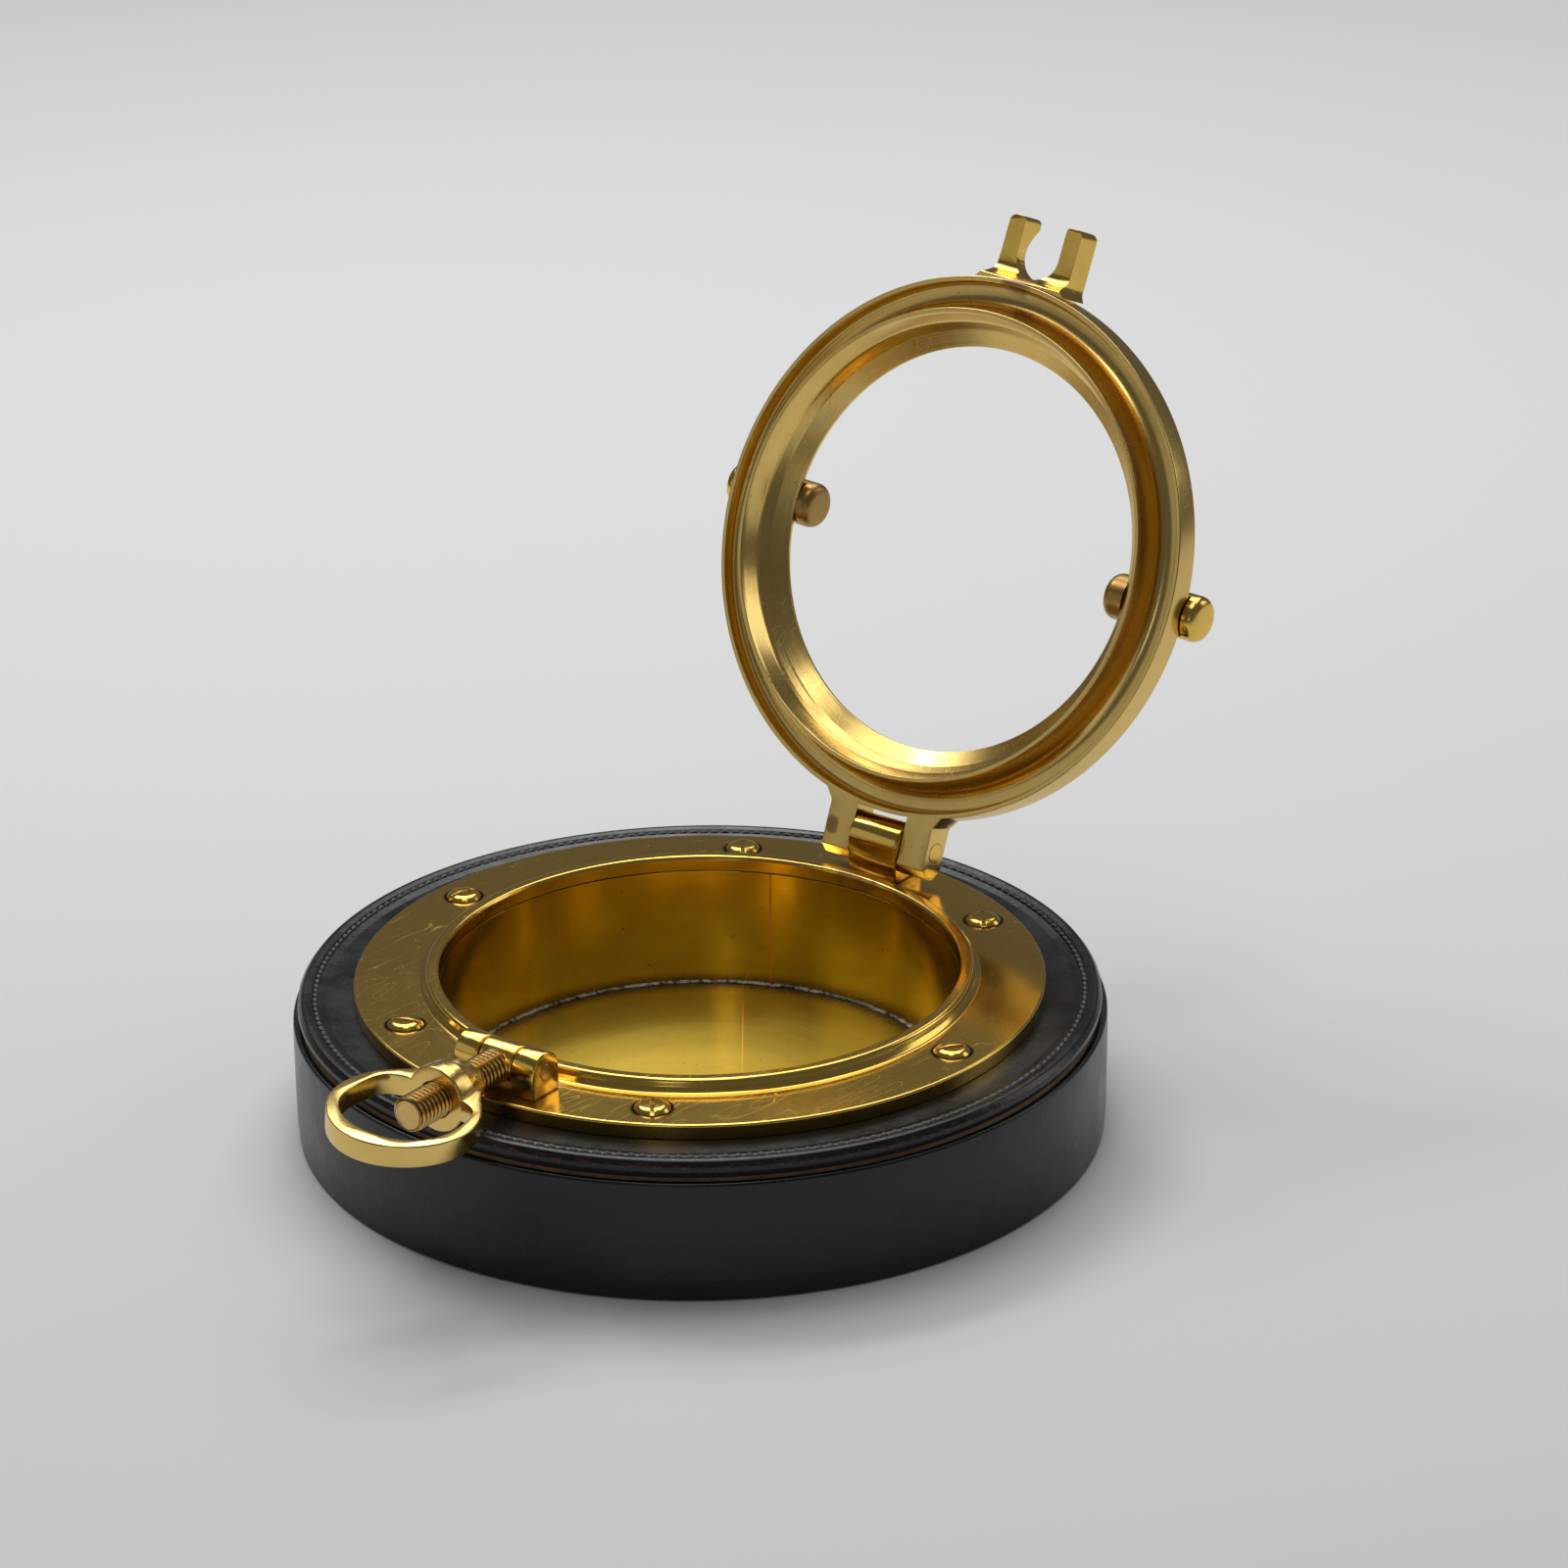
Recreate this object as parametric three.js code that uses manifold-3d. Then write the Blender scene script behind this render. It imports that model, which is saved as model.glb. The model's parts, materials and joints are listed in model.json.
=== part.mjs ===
// Porthole-shaped brass table dish on a round, leather-covered base, with its lid open.
// Millimetres, +Z up. The origin is the centre of the underside. The lid's hinge is on the +Y side
// with its pin along X, and the swing bolt that clamps the lid is on the -Y side.
import * as THREE from "three";
import { mergeVertices } from "three/addons/utils/BufferGeometryUtils.js";
import Module from "manifold-3d";

const wasm = await Module();
wasm.setup();

// ---- Driving dimensions ------------------------------------------------------------------------
const BASE_RADIUS = 110;        // outside of the leather side band
const LEATHER = 2.1;            // thickness of the side band
const FIT = 0.3;                // clearance between neighbouring curved pieces
const PAD_TOP = 1.4;
const WELL_FLOOR = 5;           // bottom of the round well turned in the wooden core
const WELL_RADIUS = 71.8;
const CORE_TOP = 33.8;
const BAND_TOP = 33.4;
const LINING_TOP = 35.4;
const LINING_INSET = 1.4;       // how far the lining stops short of the top leather's edge
const TOP_EDGE_RADIUS = 108.4;  // cut edge of the top leather
const FLANGE_BOTTOM = 37.6;
const FLANGE_TOP = 41.8;
const FLANGE_RADIUS = 93.2;
const RIM_TOP = 45.15;          // raised rim round the mouth of the cup
const CUP_RADIUS = 69.9;        // inside of the cup
const CUP_WALL = 1;
const CUP_FLOOR_TOP = 6.3;
const FLANGE_BORE = 71.2;
const COUNTERSINK_BOTTOM = 38.7;

const SCREW_CIRCLE = 83.8;
const SCREW_HEAD = 5;           // head radius
const SCREW_SHANK = 2.1;
const SCREW_TIP = 22;           // height of the screw's end inside the core
const SCREW_SLOT = 1.3;         // width of the driver's slot
const SCREW_SLOT_BOTTOM = 42;
const SLOT_ANGLES = [78, 128, 128, 55, 128, 20];  // degrees, one per screw, as they were left

const HINGE_Y = 83.6;           // hinge pin, from the centre
const HINGE_Z = 51.6;
const OPEN_ANGLE = 112.5;       // how far the lid stands open
const KNUCKLE_RADIUS = 6.3;
const KNUCKLE_HALF = 8.2;
const LUG_INNER = 8.5;          // the lid's two lugs lie between these distances from the middle
const LUG_OUTER = 17.5;
const HINGE_PIN = 2.8;          // radius
const PIN_PROUD = 0.1;
const HOLE_REACH = 20;          // half the length of the cutters for the pins' holes

const LIP_FACE = 47.3;          // underside of the closed lid
const LID_RADIUS = 75.9;        // at the lip; the outer wall widens by LID_FLARE towards the top
const LID_FLARE = 0.3;
const LID_TOP = 55.2;
const LID_CROWN = 0.7;          // the outer face is domed by this much
const LID_OPENING = 56.9;       // radius
const CHANNEL_RADIUS = 74.6;
const BEAD_TIP = 41.5;          // the bead inside the channel reaches down into the cup's mouth

const FORK_FACE = 54.2;         // underside of the closed fork
const FORK_HALF = 12.3;
const FORK_ROOT = 15;           // half the width of its foot on the ring
const FORK_SLOT = 6.95;         // half the slot's width
const FORK_TIP = 94.2;
const FORK_SLOT_CENTRE = 84.3;
const FORK_BACK = 62.4;         // its other face, where the nut seats
const FORK_SEAT = 9.9;          // radius of the conical seat round the slot, at that face
const FORK_TURN = 2.65;         // degrees that the fork was brazed on round from the hinge's line

const REST_RADIUS = 6.5;
const REST_Z = 59.4;
const REST_INNER = [52.3, 49.7];  // the left and right rests' inner ends, from the centre
const REST_LENGTH = 30.5;
const REST_TURN = 2;            // degrees, as for the fork

const CLAMP_X = 2.2;            // swing bolt's pivot
const CLAMP_Y = -83.2;
const CLAMP_Z = 48.3;
const CLAMP_SKEW = 1.5;         // degrees that the bolt points away from the centre line
const EAR_INNER = 5.7;
const EAR_OUTER = 13.1;
const EAR_RADIUS = 5.4;
const EYE_RADIUS = 5.2;
const EYE_HALF = 5.4;
const CLAMP_PIN = 2;            // radius
const ROD_RADIUS = 4.85;
const ROD_START = 3.5;          // inside the eye
const ROD_END = 39.6;           // distances along the rod start at the pivot
const NUT_START = 16.7;
const NUT_FACE = 28.7;
const NUT_RADIUS = 9;
const LOOP_THICKNESS = 6.2;
const LOOP_HALF = 19.7;         // half the loop's outer width
const LOOP_WIDEST = 42;
const LOOP_END = 61.6;
const LOOP_BAND = 3.6;          // the band's thickness at the sides
const LOOP_END_BAND = 5;
const NUT_TURN = 6;             // degrees that the loop leans to the +X side

const ROUND = 64;               // sides of the large round pieces
const SMALL_ROUND = 20;         // sides of pins, holes and screws

// ---- Materials ---------------------------------------------------------------------------------
const brass = (color, roughness = 0.25) => new THREE.MeshStandardMaterial({ color, roughness, metalness: 1 });
const leather = (color) => new THREE.MeshStandardMaterial({ color, roughness: 0.45, metalness: 0 });
const POLISHED = 0xc79a4b;
const AGED = 0xa87a3c;
const BLACK = 0x17181b;

// ---- Helpers -----------------------------------------------------------------------------------
const radians = (degrees) => THREE.MathUtils.degToRad(degrees);

function toSolid(geometry) {
  const bare = geometry.clone();
  bare.deleteAttribute("normal");
  bare.deleteAttribute("uv");
  const merged = mergeVertices(bare, 1e-4);
  return new wasm.Manifold(new wasm.Mesh({
    numProp: 3,
    vertProperties: new Float32Array(merged.attributes.position.array),
    triVerts: new Uint32Array(merged.index.array),
  }));
}

function toGeometry(solid) {
  const mesh = solid.getMesh();
  const geometry = new THREE.BufferGeometry();
  geometry.setAttribute("position", new THREE.BufferAttribute(new Float32Array(mesh.vertProperties), 3));
  geometry.setIndex(new THREE.BufferAttribute(new Uint32Array(mesh.triVerts), 1));
  geometry.computeVertexNormals();
  return geometry;
}

// A turned shape about Z from [radius, height] points. It is closed on the axis or on itself.
function turned(points, sides = ROUND) {
  const outline = points.map(([radius, height]) => new THREE.Vector2(radius, height));
  const onAxis = points[0][0] === 0;
  if (!onAxis) outline.push(outline[0].clone());
  return new THREE.LatheGeometry(outline, sides).rotateX(Math.PI / 2);
}

// A ring with a rectangular section.
function plainRing(inner, outer, bottom, top, sides = ROUND) {
  return turned([[inner, bottom], [outer, bottom], [outer, top], [inner, top]], sides);
}

function disc(radius, bottom, top, sides = ROUND) {
  return turned([[0, bottom], [radius, bottom], [radius, top], [0, top]], sides);
}

// A block whose side outline, in Y and Z, is pushed along X from one distance to another.
function sideBlock(outline, fromX, toX) {
  const isShape = outline instanceof THREE.Shape;
  const shape = isShape ? outline : new THREE.Shape(outline.map(([y, z]) => new THREE.Vector2(y, z)));
  const options = { depth: toX - fromX, bevelEnabled: false, curveSegments: 10 };
  const block = new THREE.ExtrudeGeometry(shape, options);
  const yzToWorld = new THREE.Matrix4().set(0, 0, 1, fromX, 1, 0, 0, 0, 0, 1, 0, 0, 0, 0, 0, 1);
  return block.applyMatrix4(yzToWorld);
}

function rodAlongX(radius, fromX, toX, y, z, sides = SMALL_ROUND) {
  const rod = new THREE.CylinderGeometry(radius, radius, toX - fromX, sides).rotateZ(Math.PI / 2);
  return rod.translate((fromX + toX) / 2, y, z);
}

// A pin whose ends stand just proud of the pieces that it passes through.
function pin(radius, halfWidth, y, z) {
  const reach = halfWidth + PIN_PROUD;
  return rodAlongX(radius, -reach, reach, y, z);
}

// A cutter for the hole that a pin passes through.
function pinHole(radius, y, z) {
  return rodAlongX(radius + FIT, -HOLE_REACH, HOLE_REACH, y, z);
}

function named(name, geometry, material) {
  const mesh = new THREE.Mesh(geometry, material);
  mesh.name = name;
  return mesh;
}

function cutAll(geometry, cutters) {
  const start = toSolid(geometry);
  return toGeometry(cutters.reduce((solid, cutter) => solid.subtract(toSolid(cutter)), start));
}

// ---- Base --------------------------------------------------------------------------------------
const screwAngles = [-90, -30, 30, 90, 150, 210].map(radians);  // clockwise from the hinge side

function atScrew(geometry, angle) {
  return geometry.translate(SCREW_CIRCLE * Math.sin(angle), SCREW_CIRCLE * Math.cos(angle), 0);
}

function screwHoles(bottom, top) {
  return screwAngles.map((angle) => atScrew(disc(SCREW_SHANK + FIT, bottom, top, 12), angle));
}

function baseCore() {
  const radius = BASE_RADIUS - LEATHER - FIT;
  const body = turned([
    [0, PAD_TOP], [radius, PAD_TOP], [radius, CORE_TOP - 0.8], [radius - 0.8, CORE_TOP],
    [WELL_RADIUS, CORE_TOP], [WELL_RADIUS, WELL_FLOOR], [0, WELL_FLOOR],
  ]);
  return cutAll(body, screwHoles(SCREW_TIP - 1, CORE_TOP + 1));
}

function sideLeather() {
  const inner = BASE_RADIUS - LEATHER;
  return turned([
    [inner, 0.3], [BASE_RADIUS - 0.5, 0.3], [BASE_RADIUS, 0.9], [BASE_RADIUS, BAND_TOP - 2.6],
    [BASE_RADIUS - 0.3, BAND_TOP - 1.2], [BASE_RADIUS - 0.9, BAND_TOP - 0.35], [BASE_RADIUS - 1.6, BAND_TOP],
    [inner, BAND_TOP],
  ]);
}

function topLeather() {
  const edge = TOP_EDGE_RADIUS;
  const body = turned([
    [WELL_RADIUS, LINING_TOP], [edge - 0.4, LINING_TOP], [edge, LINING_TOP + 0.6], [edge - 0.1, 37.5],
    [edge - 0.8, 38.4], [edge - 2.2, 38.9], [edge - 3.6, 38.6], [edge - 5, 37.8], [edge - 6.4, FLANGE_BOTTOM],
    [WELL_RADIUS, FLANGE_BOTTOM],
  ]);
  return cutAll(body, screwHoles(LINING_TOP - 1, FLANGE_BOTTOM + 1));
}

function topLining() {
  const body = plainRing(WELL_RADIUS, TOP_EDGE_RADIUS - LINING_INSET, CORE_TOP, LINING_TOP);
  return cutAll(body, screwHoles(CORE_TOP - 1, LINING_TOP + 1));
}

// ---- Flange, cup and screws --------------------------------------------------------------------
function flangeRing() {
  const body = turned([
    [FLANGE_BORE, FLANGE_BOTTOM], [FLANGE_RADIUS - 0.4, FLANGE_BOTTOM], [FLANGE_RADIUS, FLANGE_BOTTOM + 0.4],
    [FLANGE_RADIUS, FLANGE_TOP - 0.6], [FLANGE_RADIUS - 0.6, FLANGE_TOP], [75.8, FLANGE_TOP],
    [74.9, 42.1], [74.3, 42.9], [73.9, 43.9], [73.2, 44.7], [72.2, RIM_TOP], [71, RIM_TOP],
    [70.3, 44.9], [CUP_RADIUS, 44.4], [CUP_RADIUS, 41], [FLANGE_BORE, 41],
  ]);
  const countersinks = screwAngles.map((angle) => atScrew(turned([
    [0, 30], [SCREW_SHANK + FIT, 30], [SCREW_SHANK + FIT, COUNTERSINK_BOTTOM], [SCREW_HEAD + FIT, FLANGE_TOP],
    [SCREW_HEAD + FIT, 44], [0, 44],
  ], SMALL_ROUND), angle));
  return cutAll(body, countersinks);
}

function flangeScrew(angle, slotDegrees) {
  const body = turned([
    [0, SCREW_TIP], [SCREW_SHANK, SCREW_TIP + 2.5], [SCREW_SHANK, 39], [SCREW_HEAD, FLANGE_TOP],
    [4.1, 42.35], [2.4, 42.75], [0, 42.9],
  ], SMALL_ROUND);
  const slot = new THREE.BoxGeometry(3 * SCREW_HEAD, SCREW_SLOT, 2);
  slot.translate(0, 0, SCREW_SLOT_BOTTOM + 1).rotateZ(radians(slotDegrees));
  return atScrew(cutAll(body, [slot]), angle);
}

// ---- Hinge -------------------------------------------------------------------------------------
// A block with a flat foot and a half-round top, seen from the side.
function archOutline(y, z, radius, foot) {
  const shape = new THREE.Shape();
  shape.moveTo(y - radius, foot);
  shape.lineTo(y + radius, foot);
  shape.lineTo(y + radius, z);
  shape.absarc(y, z, radius, 0, Math.PI, false);
  shape.lineTo(y - radius, foot);
  return shape;
}

function hingeKnuckle() {
  const outline = archOutline(HINGE_Y, HINGE_Z, KNUCKLE_RADIUS, FLANGE_TOP);
  const body = sideBlock(outline, -KNUCKLE_HALF, KNUCKLE_HALF);
  return cutAll(body, [pinHole(HINGE_PIN, HINGE_Y, HINGE_Z)]);
}

// ---- Lid, drawn closed -------------------------------------------------------------------------
function sashRing() {
  const ring = toSolid(turned([
    [LID_OPENING, 53.7], [57.6, 53.3], [61.4, 50.5], [62.8, 48.8], [63.8, 46.6], [64.6, BEAD_TIP + 2],
    [65.1, BEAD_TIP], [66.2, BEAD_TIP], [66.6, 44.2], [67.4, 47.2], [69, 49.6], [71.4, 50.9], [73.6, 50.8],
    [CHANNEL_RADIUS, 49.4],
    [CHANNEL_RADIUS, LIP_FACE], [LID_RADIUS, LIP_FACE], [LID_RADIUS + LID_FLARE, LID_TOP - 0.7],
    [LID_RADIUS - 0.5, LID_TOP], [71, LID_TOP + LID_CROWN], [64, LID_TOP + LID_CROWN], [58.4, LID_TOP],
    [LID_OPENING, 54.6],
  ]));
  const lugOutline = [
    [70, LIP_FACE], [88.9, LIP_FACE], [91.2, 50.4], [91, 53.2], [88.7, 55.8], [70, 55.8],
  ];
  const inside = toSolid(disc(CHANNEL_RADIUS + 0.2, 40, 60));
  const hole = toSolid(pinHole(HINGE_PIN, HINGE_Y, HINGE_Z));
  const lugs = [-1, 1].map((side) => {
    const edges = [side * LUG_INNER, side * LUG_OUTER].sort((a, b) => a - b);
    return toSolid(sideBlock(lugOutline, edges[0], edges[1])).subtract(inside);
  });
  return toGeometry(ring.add(lugs[0]).add(lugs[1]).subtract(hole));
}

// The fork's plan, with its slot opening away from the hinge.
function forkPlan() {
  const tipRound = 3;
  const plan = new THREE.Shape();
  plan.moveTo(-FORK_ROOT, -70);
  plan.lineTo(-FORK_ROOT, -75);
  plan.quadraticCurveTo(-FORK_HALF, -76.6, -FORK_HALF, -79.6);
  plan.lineTo(-FORK_HALF, -FORK_TIP + tipRound);
  plan.quadraticCurveTo(-FORK_HALF, -FORK_TIP, -FORK_HALF + tipRound, -FORK_TIP);
  plan.lineTo(-FORK_SLOT - 1.5, -FORK_TIP);
  plan.quadraticCurveTo(-FORK_SLOT, -FORK_TIP, -FORK_SLOT, -FORK_TIP + 1.8);
  plan.lineTo(-FORK_SLOT, -FORK_SLOT_CENTRE);
  plan.absarc(0, -FORK_SLOT_CENTRE, FORK_SLOT, Math.PI, 0, true);
  plan.lineTo(FORK_SLOT, -FORK_TIP + 1.8);
  plan.quadraticCurveTo(FORK_SLOT, -FORK_TIP, FORK_SLOT + 1.5, -FORK_TIP);
  plan.lineTo(FORK_HALF - tipRound, -FORK_TIP);
  plan.quadraticCurveTo(FORK_HALF, -FORK_TIP, FORK_HALF, -FORK_TIP + tipRound);
  plan.lineTo(FORK_HALF, -79.6);
  plan.quadraticCurveTo(FORK_HALF, -76.6, FORK_ROOT, -75);
  plan.lineTo(FORK_ROOT, -70);
  return plan;
}

function clampFork() {
  const plan = new THREE.ExtrudeGeometry(forkPlan(), { depth: 24, bevelEnabled: false, curveSegments: 6 });
  const side = new THREE.Shape();
  side.moveTo(-73, 48.6);
  side.lineTo(-76.2, 48.6);
  side.quadraticCurveTo(-77.6, FORK_FACE - 0.6, -82.4, FORK_FACE);
  side.lineTo(-94.6, FORK_FACE);
  side.lineTo(-94.6, FORK_BACK - 2);
  side.quadraticCurveTo(-94.5, FORK_BACK, -92.4, FORK_BACK);
  side.lineTo(-80, FORK_BACK);
  side.quadraticCurveTo(-76.5, FORK_BACK, -73, 57.5);
  const sides = toSolid(sideBlock(side, -20, 20));
  const fork = toSolid(plan.translate(0, 0, 44)).intersect(sides);
  const seat = turned([[0, 58.4], [FORK_SLOT, 58.4], [FORK_SEAT, FORK_BACK], [FORK_SEAT, 64], [0, 64]], 32);
  const wall = disc(LID_RADIUS + LID_FLARE + FIT, 40, 70);
  const cut = fork.subtract(toSolid(wall)).subtract(toSolid(seat.translate(0, -FORK_SLOT_CENTRE, 0)));
  return toGeometry(cut).rotateZ(radians(FORK_TURN));
}

// A round bar across the ring's outer face, with its ends' edges rounded.
function cigaretteRest(side, inner) {
  const outer = inner + REST_LENGTH;
  const bar = turned([
    [0, inner], [REST_RADIUS - 4, inner], [REST_RADIUS - 1.6, inner + 1], [REST_RADIUS - 0.4, inner + 2.6],
    [REST_RADIUS, inner + 4.6], [REST_RADIUS, outer - 4.6], [REST_RADIUS - 0.4, outer - 2.6],
    [REST_RADIUS - 1.6, outer - 1], [REST_RADIUS - 4, outer], [0, outer],
  ], SMALL_ROUND);
  bar.rotateY(side * Math.PI / 2).translate(0, 0, REST_Z).rotateZ(radians(REST_TURN));
  const outside = LID_RADIUS + LID_FLARE + FIT;
  const top = LID_TOP + LID_CROWN + FIT;
  return cutAll(bar, [plainRing(LID_OPENING - FIT, outside, 50, top)]);
}

function openLid(meshes) {
  const lid = new THREE.Group();
  meshes.forEach((mesh) => mesh.geometry.translate(0, -HINGE_Y, -HINGE_Z));
  lid.add(...meshes);
  lid.position.set(0, HINGE_Y, HINGE_Z);
  lid.rotation.x = -radians(OPEN_ANGLE);
  return lid;
}

// ---- Swing bolt, drawn with its pivot at the origin and its rod along -Y ------------------------
function clampEar(side) {
  const edges = [side * EAR_INNER, side * EAR_OUTER].sort((a, b) => a - b);
  const outline = archOutline(0, 0, EAR_RADIUS, FLANGE_TOP - CLAMP_Z);
  return cutAll(sideBlock(outline, edges[0], edges[1]), [pinHole(CLAMP_PIN, 0, 0)]);
}

function swingBolt() {
  const eye = toSolid(rodAlongX(EYE_RADIUS, -EYE_HALF, EYE_HALF, 0, 0, 32));
  const rod = new THREE.CylinderGeometry(ROD_RADIUS, ROD_RADIUS, ROD_END - ROD_START, 24);
  const solid = eye.add(toSolid(rod.translate(0, -(ROD_END + ROD_START) / 2, 0)));
  return toGeometry(solid.subtract(toSolid(pinHole(CLAMP_PIN, 0, 0))));
}

function loopBand() {
  const inner = LOOP_HALF - LOOP_BAND;
  const innerEnd = LOOP_END - LOOP_END_BAND;
  const band = new THREE.Shape();
  band.moveTo(-9, -21);
  band.bezierCurveTo(-12, -27, -LOOP_HALF, -30, -LOOP_HALF, -LOOP_WIDEST);
  band.bezierCurveTo(-LOOP_HALF, -53, -11, -LOOP_END, 0, -LOOP_END);
  band.bezierCurveTo(11, -LOOP_END, LOOP_HALF, -53, LOOP_HALF, -LOOP_WIDEST);
  band.bezierCurveTo(LOOP_HALF, -30, 12, -27, 9, -21);
  const hole = new THREE.Path();
  hole.moveTo(-9.5, -NUT_FACE);
  hole.bezierCurveTo(-13, -30, -inner, -34, -inner, -LOOP_WIDEST);
  hole.bezierCurveTo(-inner, -50, -9, -innerEnd, 0, -innerEnd);
  hole.bezierCurveTo(9, -innerEnd, inner, -50, inner, -LOOP_WIDEST);
  hole.bezierCurveTo(inner, -34, 13, -30, 9.5, -NUT_FACE);
  band.holes.push(hole);
  const options = { depth: LOOP_THICKNESS, bevelEnabled: false, curveSegments: 10 };
  return new THREE.ExtrudeGeometry(band, options).translate(0, 0, -LOOP_THICKNESS / 2);
}

function ringNut() {
  const hub = turned([
    [0, NUT_START], [6.4, NUT_START], [7.1, NUT_START + 1], [7.6, NUT_START + 3.4],
    [NUT_RADIUS - 0.3, NUT_START + 5.8], [NUT_RADIUS, NUT_START + 7.2], [NUT_RADIUS, NUT_FACE - 0.8],
    [NUT_RADIUS - 0.8, NUT_FACE], [0, NUT_FACE],
  ], 32).rotateX(Math.PI / 2);
  const bore = new THREE.CylinderGeometry(ROD_RADIUS + FIT, ROD_RADIUS + FIT, 40, 32).translate(0, -20, 0);
  const nut = toSolid(hub).add(toSolid(loopBand()));
  return toGeometry(nut.subtract(toSolid(bore))).rotateY(radians(NUT_TURN));
}

// ---- Assembly ----------------------------------------------------------------------------------
const base = [
  named("base_pad", disc(BASE_RADIUS - LEATHER - FIT, 0, PAD_TOP), leather(BLACK)),
  named("base_core", baseCore(), new THREE.MeshStandardMaterial({ color: 0x8a6b46, roughness: 0.8 })),
  named("side_leather", sideLeather(), leather(BLACK)),
  named("top_lining", topLining(), leather(0x241a18)),
  named("top_leather", topLeather(), leather(BLACK)),
  named("flange_ring", flangeRing(), brass(POLISHED, 0.2)),
  named("cup_wall", plainRing(CUP_RADIUS, CUP_RADIUS + CUP_WALL, CUP_FLOOR_TOP, 40.7), brass(AGED, 0.2)),
  named("cup_floor", disc(CUP_RADIUS + CUP_WALL, WELL_FLOOR, CUP_FLOOR_TOP), brass(AGED, 0.3)),
  named("hinge_knuckle", hingeKnuckle(), brass(POLISHED)),
];
screwAngles.forEach((angle, index) => {
  base.push(named(`flange_screw_${index + 1}`, flangeScrew(angle, SLOT_ANGLES[index]), brass(POLISHED)));
});

const lid = openLid([
  named("sash_ring", sashRing(), brass(POLISHED, 0.2)),
  named("clamp_fork", clampFork(), brass(POLISHED)),
  named("rest_left", cigaretteRest(-1, REST_INNER[0]), brass(AGED)),
  named("rest_right", cigaretteRest(1, REST_INNER[1]), brass(AGED)),
  named("hinge_pin", pin(HINGE_PIN, LUG_OUTER, HINGE_Y, HINGE_Z), brass(POLISHED)),
]);

const clamp = new THREE.Group();
clamp.add(
  named("clamp_ear_left", clampEar(-1), brass(POLISHED)),
  named("clamp_ear_right", clampEar(1), brass(POLISHED)),
  named("clamp_pin", pin(CLAMP_PIN, EAR_OUTER, 0, 0), brass(AGED)),
  named("swing_bolt", swingBolt(), brass(AGED, 0.35)),
  named("ring_nut", ringNut(), brass(POLISHED, 0.2)),
);
clamp.position.set(CLAMP_X, CLAMP_Y, CLAMP_Z);
clamp.rotation.z = radians(CLAMP_SKEW);

const porthole = new THREE.Group();
porthole.add(...base, lid, clamp);

export default porthole;
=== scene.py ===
"""Porthole-shaped brass dish on a leather-covered base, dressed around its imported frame.

Lengths in the outlines below are millimetres; Blender's own lengths are metres.
"""

import json
from math import acos, atan2, cos, pi, radians, sin, tan

import bmesh
import bpy
from bpy.props import FloatProperty, FloatVectorProperty, IntProperty, PointerProperty
from mathutils import Matrix, Vector, noise


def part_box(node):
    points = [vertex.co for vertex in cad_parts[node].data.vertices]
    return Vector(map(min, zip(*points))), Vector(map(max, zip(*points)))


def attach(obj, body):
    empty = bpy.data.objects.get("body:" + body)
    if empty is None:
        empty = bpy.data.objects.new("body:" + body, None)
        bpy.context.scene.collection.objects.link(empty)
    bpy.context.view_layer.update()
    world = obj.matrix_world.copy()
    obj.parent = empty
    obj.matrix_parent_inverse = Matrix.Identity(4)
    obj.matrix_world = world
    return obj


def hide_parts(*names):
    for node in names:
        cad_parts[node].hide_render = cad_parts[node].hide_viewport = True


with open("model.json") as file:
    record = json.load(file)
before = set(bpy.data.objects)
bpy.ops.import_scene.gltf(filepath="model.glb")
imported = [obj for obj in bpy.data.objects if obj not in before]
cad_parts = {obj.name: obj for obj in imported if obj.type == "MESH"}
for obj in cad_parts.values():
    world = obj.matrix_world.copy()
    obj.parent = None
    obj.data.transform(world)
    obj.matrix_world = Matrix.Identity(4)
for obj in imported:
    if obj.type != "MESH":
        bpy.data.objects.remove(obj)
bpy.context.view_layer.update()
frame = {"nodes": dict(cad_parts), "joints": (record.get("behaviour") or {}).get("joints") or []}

bl_info = {
    "name": "Porthole Dish",
    "version": (1, 0, 0),
    "blender": (4, 5, 0),
    "location": "View3D > Sidebar > Porthole",
    "description": "Builds a brass porthole dish with a leather-covered base",
    "category": "Add Mesh",
}

MM = 0.001
ROUND_SIDES = 256
SMALL_SIDES = 64

JOINTS = {joint["name"]: joint for joint in frame["joints"]}
HINGE = Vector(JOINTS["lid_hinge"]["pos_m"])
OPEN_ANGLE = radians(JOINTS["lid_hinge"]["range_deg"][1])
PIVOT = Vector(JOINTS["bolt_swing"]["pos_m"])
ROD_AXIS = Vector(JOINTS["nut_turn"]["axis"])

# The lid's pieces are drawn closed and the clamp's along -Y from its pivot; these place them.
LID_PLACE = Matrix.Translation(HINGE) @ Matrix.Rotation(-OPEN_ANGLE, 4, "X") @ Matrix.Translation(-HINGE)
CLAMP_PLACE = Matrix.Translation(PIVOT) @ Matrix.Rotation(atan2(ROD_AXIS.x, -ROD_AXIS.y), 4, "Z")

BASE_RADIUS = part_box("side_leather")[1].x / MM
BAND_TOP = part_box("side_leather")[1].z / MM
COVER_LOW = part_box("top_leather")[0].z / MM
COVER_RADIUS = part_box("top_leather")[1].x / MM
FLANGE_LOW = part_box("flange_ring")[0].z / MM
FLANGE_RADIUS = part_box("flange_ring")[1].x / MM
RIM_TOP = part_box("flange_ring")[1].z / MM
FLANGE_TOP = FLANGE_LOW + 4.2
SHEET = 1
CUP_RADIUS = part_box("cup_wall")[1].x / MM - SHEET
CUP_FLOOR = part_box("cup_floor")[1].z / MM
WELL = 71.8
HINGE_PIN = 2.95

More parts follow.
